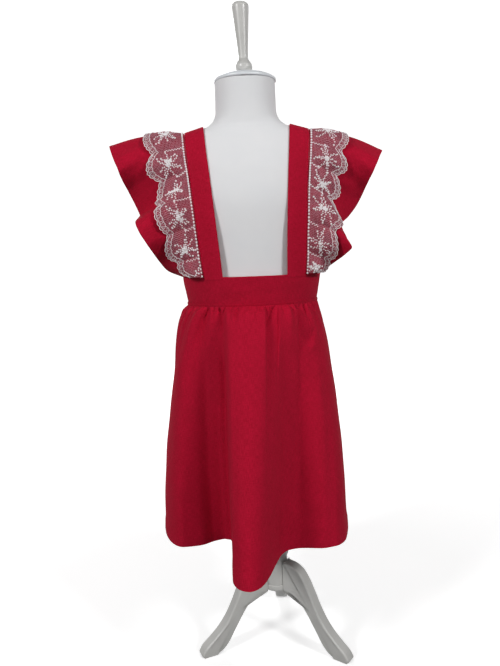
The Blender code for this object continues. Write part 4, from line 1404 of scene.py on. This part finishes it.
def torso():
    """The covered form: a squarish oval at each height, |x/side|^n + |y/depth|^n = 1, its bottom edge
    rounded, closed by flat ends."""
    heights = np.concatenate([np.linspace(*rows) for rows in FORM_ROWS])
    height, angle = np.meshgrid(heights, math.pi + full_turn(FORM_COLUMNS), indexing="ij")
    side, front, back = read(FORM, "side front back", height)
    depth = np.where(np.cos(angle) > 0, front, back)
    power = 2 / FORM_SQUARENESS
    up_edge = np.clip((height - FORM["height"][0]) / FORM_EDGE, 0, 1)
    draw = FORM_EDGE * (1 - np.sqrt(1 - (1 - up_edge) ** 2))
    x = (side - draw) * np.sign(np.sin(angle)) * np.abs(np.sin(angle)) ** power
    y = -(depth - draw) * np.sign(np.cos(angle)) * np.abs(np.cos(angle)) ** power
    uv = stacked((angle - math.pi) * FORM_UV_RADIUS, height)
    shape = tube(stacked(x, y, height), uv)
    round_uv = 2 * math.pi * FORM_UV_RADIUS
    piece("form_torso_covered", shape, COVER, ["form_torso"], round_uv=round_uv)


def turned(name, profile, look):
    """A turned piece: a smooth curve through its profile's rows, carried round the stand's axis."""
    station = distance_along(profile["height"], profile["radius"])
    fine = np.linspace(0, station[-1], TURNED_ROWS)
    height, radius = (smooth(station, profile[key], fine)[:, None] for key in ("height", "radius"))
    angle = full_turn(TURNED_COLUMNS)
    points = stacked(lean_x(height) + radius * np.cos(angle), radius * np.sin(angle), height)
    shape = tube(points, stacked(angle * TURNED_UV_RADIUS, height))
    piece(f"{name}_turned", shape, look, [name])


def leg_outline():
    """The board's outline: along its top to the toe, then back along the sole and its underside."""
    t = np.linspace(0, 1, LEG_STATIONS)

    def along(curve):
        station = distance_along(curve["out"], curve["height"])
        station = station / station[-1]
        return stacked(*[smooth(station, curve[key], t) for key in ("out", "height")])

    toe_start = np.array([LEG_TOP["out"][-1], LEG_TOP["height"][-1]])
    toe = toe_start + (np.array([LEG_TOE, 0.0]) - toe_start) * LEG_TOE_ROUND["share"][:, None]
    toe[:, 0] += LEG_TOE_ROUND["out"]
    return np.concatenate([along(LEG_TOP), toe, along(LEG_UNDER)[::-1]])


def leg(side_name, bearing):
    """A board leg: its outline in layers across the thickness, drawn in round the edges by a quarter
    circle, its root hollowed for the round column, turned to its bearing."""
    outline = leg_outline()
    tangent = np.roll(outline, -1, axis=0) - np.roll(outline, 1, axis=0)
    inward = unit(stacked(tangent[:, 1], -tangent[:, 0]))
    half = LEG_THICKNESS / 2
    turn = np.linspace(0, math.pi / 2, LEG_ROUND_STEPS)
    edge = half - LEG_ROUND * (1 - np.sin(turn))
    drawn = LEG_ROUND * (1 - np.cos(turn))
    flat = np.linspace(-1, 1, LEG_FLAT_STEPS)[1:-1] * (half - LEG_ROUND)
    layers = np.concatenate([-edge[::-1], flat, edge])[:, None]
    inset = np.concatenate([drawn[::-1], 0 * flat, drawn])[:, None]
    out = outline[None, :, 0] + inward[None, :, 0] * inset
    height = outline[None, :, 1] + inward[None, :, 1] * inset
    height = np.where(outline[None, :, 1] <= 0, 0, np.maximum(height, 0))
    out = np.maximum(out, np.sqrt(LEG_ROOT_RADIUS**2 - layers**2))
    turned_to = math.radians(bearing)
    x = STAND_X + out * math.cos(turned_to) - layers * math.sin(turned_to)
    y = out * math.sin(turned_to) + layers * math.cos(turned_to)
    rings = stacked(x, y, height)
    shape = tube(rings, np.zeros((*rings.shape[:2], 2)))
    name = f"stand_leg_{side_name}"
    piece(f"{name}_board", shape, PAINT, [name], sharp=35)


# ---------- room: floor, light, camera ----------
def sweep_mesh():
    """A round studio sweep: a flat floor, a quarter circle up, then a wall, turned about the middle."""
    turn = np.linspace(0, math.pi / 2, SWEEP_BEND_ROWS)[1:]
    flat = SWEEP_REACH - SWEEP_BEND
    floor = [*SWEEP_FLOOR_RINGS, flat]
    radius = np.concatenate([floor, flat + SWEEP_BEND * np.sin(turn), [SWEEP_REACH]])
    height = np.concatenate([[0] * len(floor), SWEEP_BEND - SWEEP_BEND * np.cos(turn), [SWEEP_WALL]])
    radius, height, angle = radius[:, None], height[:, None] + SWEEP_HEIGHT, full_turn(SWEEP_COLUMNS)
    rings = stacked(radius * np.cos(angle), radius * np.sin(angle), height)
    closed, sides = ring_faces(len(rings), SWEEP_COLUMNS)
    centre = stacked(len(rings) * SWEEP_COLUMNS, closed[0, :-1], closed[0, 1:])
    mesh = bpy.data.meshes.new("sweep")
    points = np.concatenate([rings.reshape(-1, 3), [[0, 0, SWEEP_HEIGHT]]])
    mesh.from_pydata(points.tolist(), [], np.concatenate([sides, centre]).tolist())
    mesh.shade_smooth()
    return mesh


def pale_sweep():
    """Matt white, with a glow of its own that grows from the floor to the wall behind."""
    sockets = {"Specular_IOR_Level": 0.05, "Emission_Color": (1, 1, 1, 1)}
    look, node, finish = material("pale_sweep", (0.80, 0.80, 0.80), 0.95, **sockets)
    place = node("TexCoord").outputs["Object"]
    colour = mixed(node, noise(node, place, 3.0, 2.0), (0.79, 0.79, 0.79), (0.81, 0.81, 0.81))
    distance = node("VectorMath", {"operation": "LENGTH"}, i0=place).outputs["Value"]
    glow = spread(node, distance, GLOW_FROM, GLOW_TO, FLOOR_GLOW, WALL_GLOW)
    finish({"Base Color": colour, "Emission Strength": glow})
    return look


def room():
    """A pale sweep, faint light from all round, soft lamps at the front's two sides, low and behind."""
    mesh = sweep_mesh()
    mesh.materials.append(pale_sweep())
    sweep = bpy.data.objects.new("sweep", mesh)
    bpy.context.scene.collection.objects.link(sweep)
    sweep.visible_diffuse = False
    sweep.visible_shadow = False

    world = bpy.data.worlds.new("studio")
    world.use_nodes = True
    world.node_tree.nodes["Background"].inputs["Color"].default_value = (1, 1, 1, 1)
    world.node_tree.nodes["Background"].inputs["Strength"].default_value = WORLD_LIGHT
    bpy.context.scene.world = world

    for name, where, size, power in LAMPS:
        light = bpy.data.lights.new(name, "AREA")
        light.shape = "DISK"
        light.size = size
        light.energy = power
        lamp = bpy.data.objects.new(name, light)
        lamp.location = where
        aim = Vector(LAMP_AIM) - Vector(where)
        lamp.rotation_mode = "QUATERNION"
        lamp.rotation_quaternion = aim.to_track_quat("-Z", "Y")
        bpy.context.scene.collection.objects.link(lamp)


def camera():
    """The camera: it looks along +Y, turned by yaw, tipped down by pitch, then rolled."""
    pitch, roll, yaw = (math.radians(CAMERA[key]) for key in ("pitch", "roll", "yaw"))
    ahead = np.array([-math.sin(yaw) * math.cos(pitch), math.cos(yaw) * math.cos(pitch), -math.sin(pitch)])
    right = unit(np.cross(ahead, [0, 0, 1]))
    up = np.cross(right, ahead)
    right, up = math.cos(roll) * right - math.sin(roll) * up, math.sin(roll) * right + math.cos(roll) * up
    lens = bpy.data.cameras.new("camera")
    lens.lens = CAMERA["lens"]
    lens.sensor_width = SENSOR_WIDTH
    lens.clip_start, lens.clip_end = NEAREST, FARTHEST
    made = bpy.data.objects.new("camera", lens)
    bpy.context.scene.collection.objects.link(made)
    place = np.array(CAMERA["place"]) + DRESS_PLACE
    made.matrix_world = Matrix([[right[k], up[k], -ahead[k], place[k]] for k in range(3)] + [[0, 0, 0, 1]])
    bpy.context.scene.camera = made


def build():
    """Every piece in turn, then the room, the camera and plain colours."""
    for name, (start, end, columns, rows) in PANELS.items():
        skirt_panel(name, start, end, columns, rows)
    for name, (start, end, columns) in BAND_PIECES.items():
        band_piece(name, start, end, columns)
    for side_name in STRAPS:
        strap(side_name)
        wing(side_name)
        lace(side_name)
    torso()
    for name, profile, look in (
        ("form_neck_cap", NECK_CAP, LIT_CAP_PAINT),
        ("form_finial", FINIAL, PAINT),
        ("stand_column", COLUMN, PAINT),
        ("stand_disc", DISC, PAINT),
    ):
        turned(name, profile, look)
    for side_name, bearing in LEG_BEARINGS.items():
        leg(side_name, bearing)
    room()
    camera()
    bpy.context.scene.view_settings.view_transform = "Standard"


build()
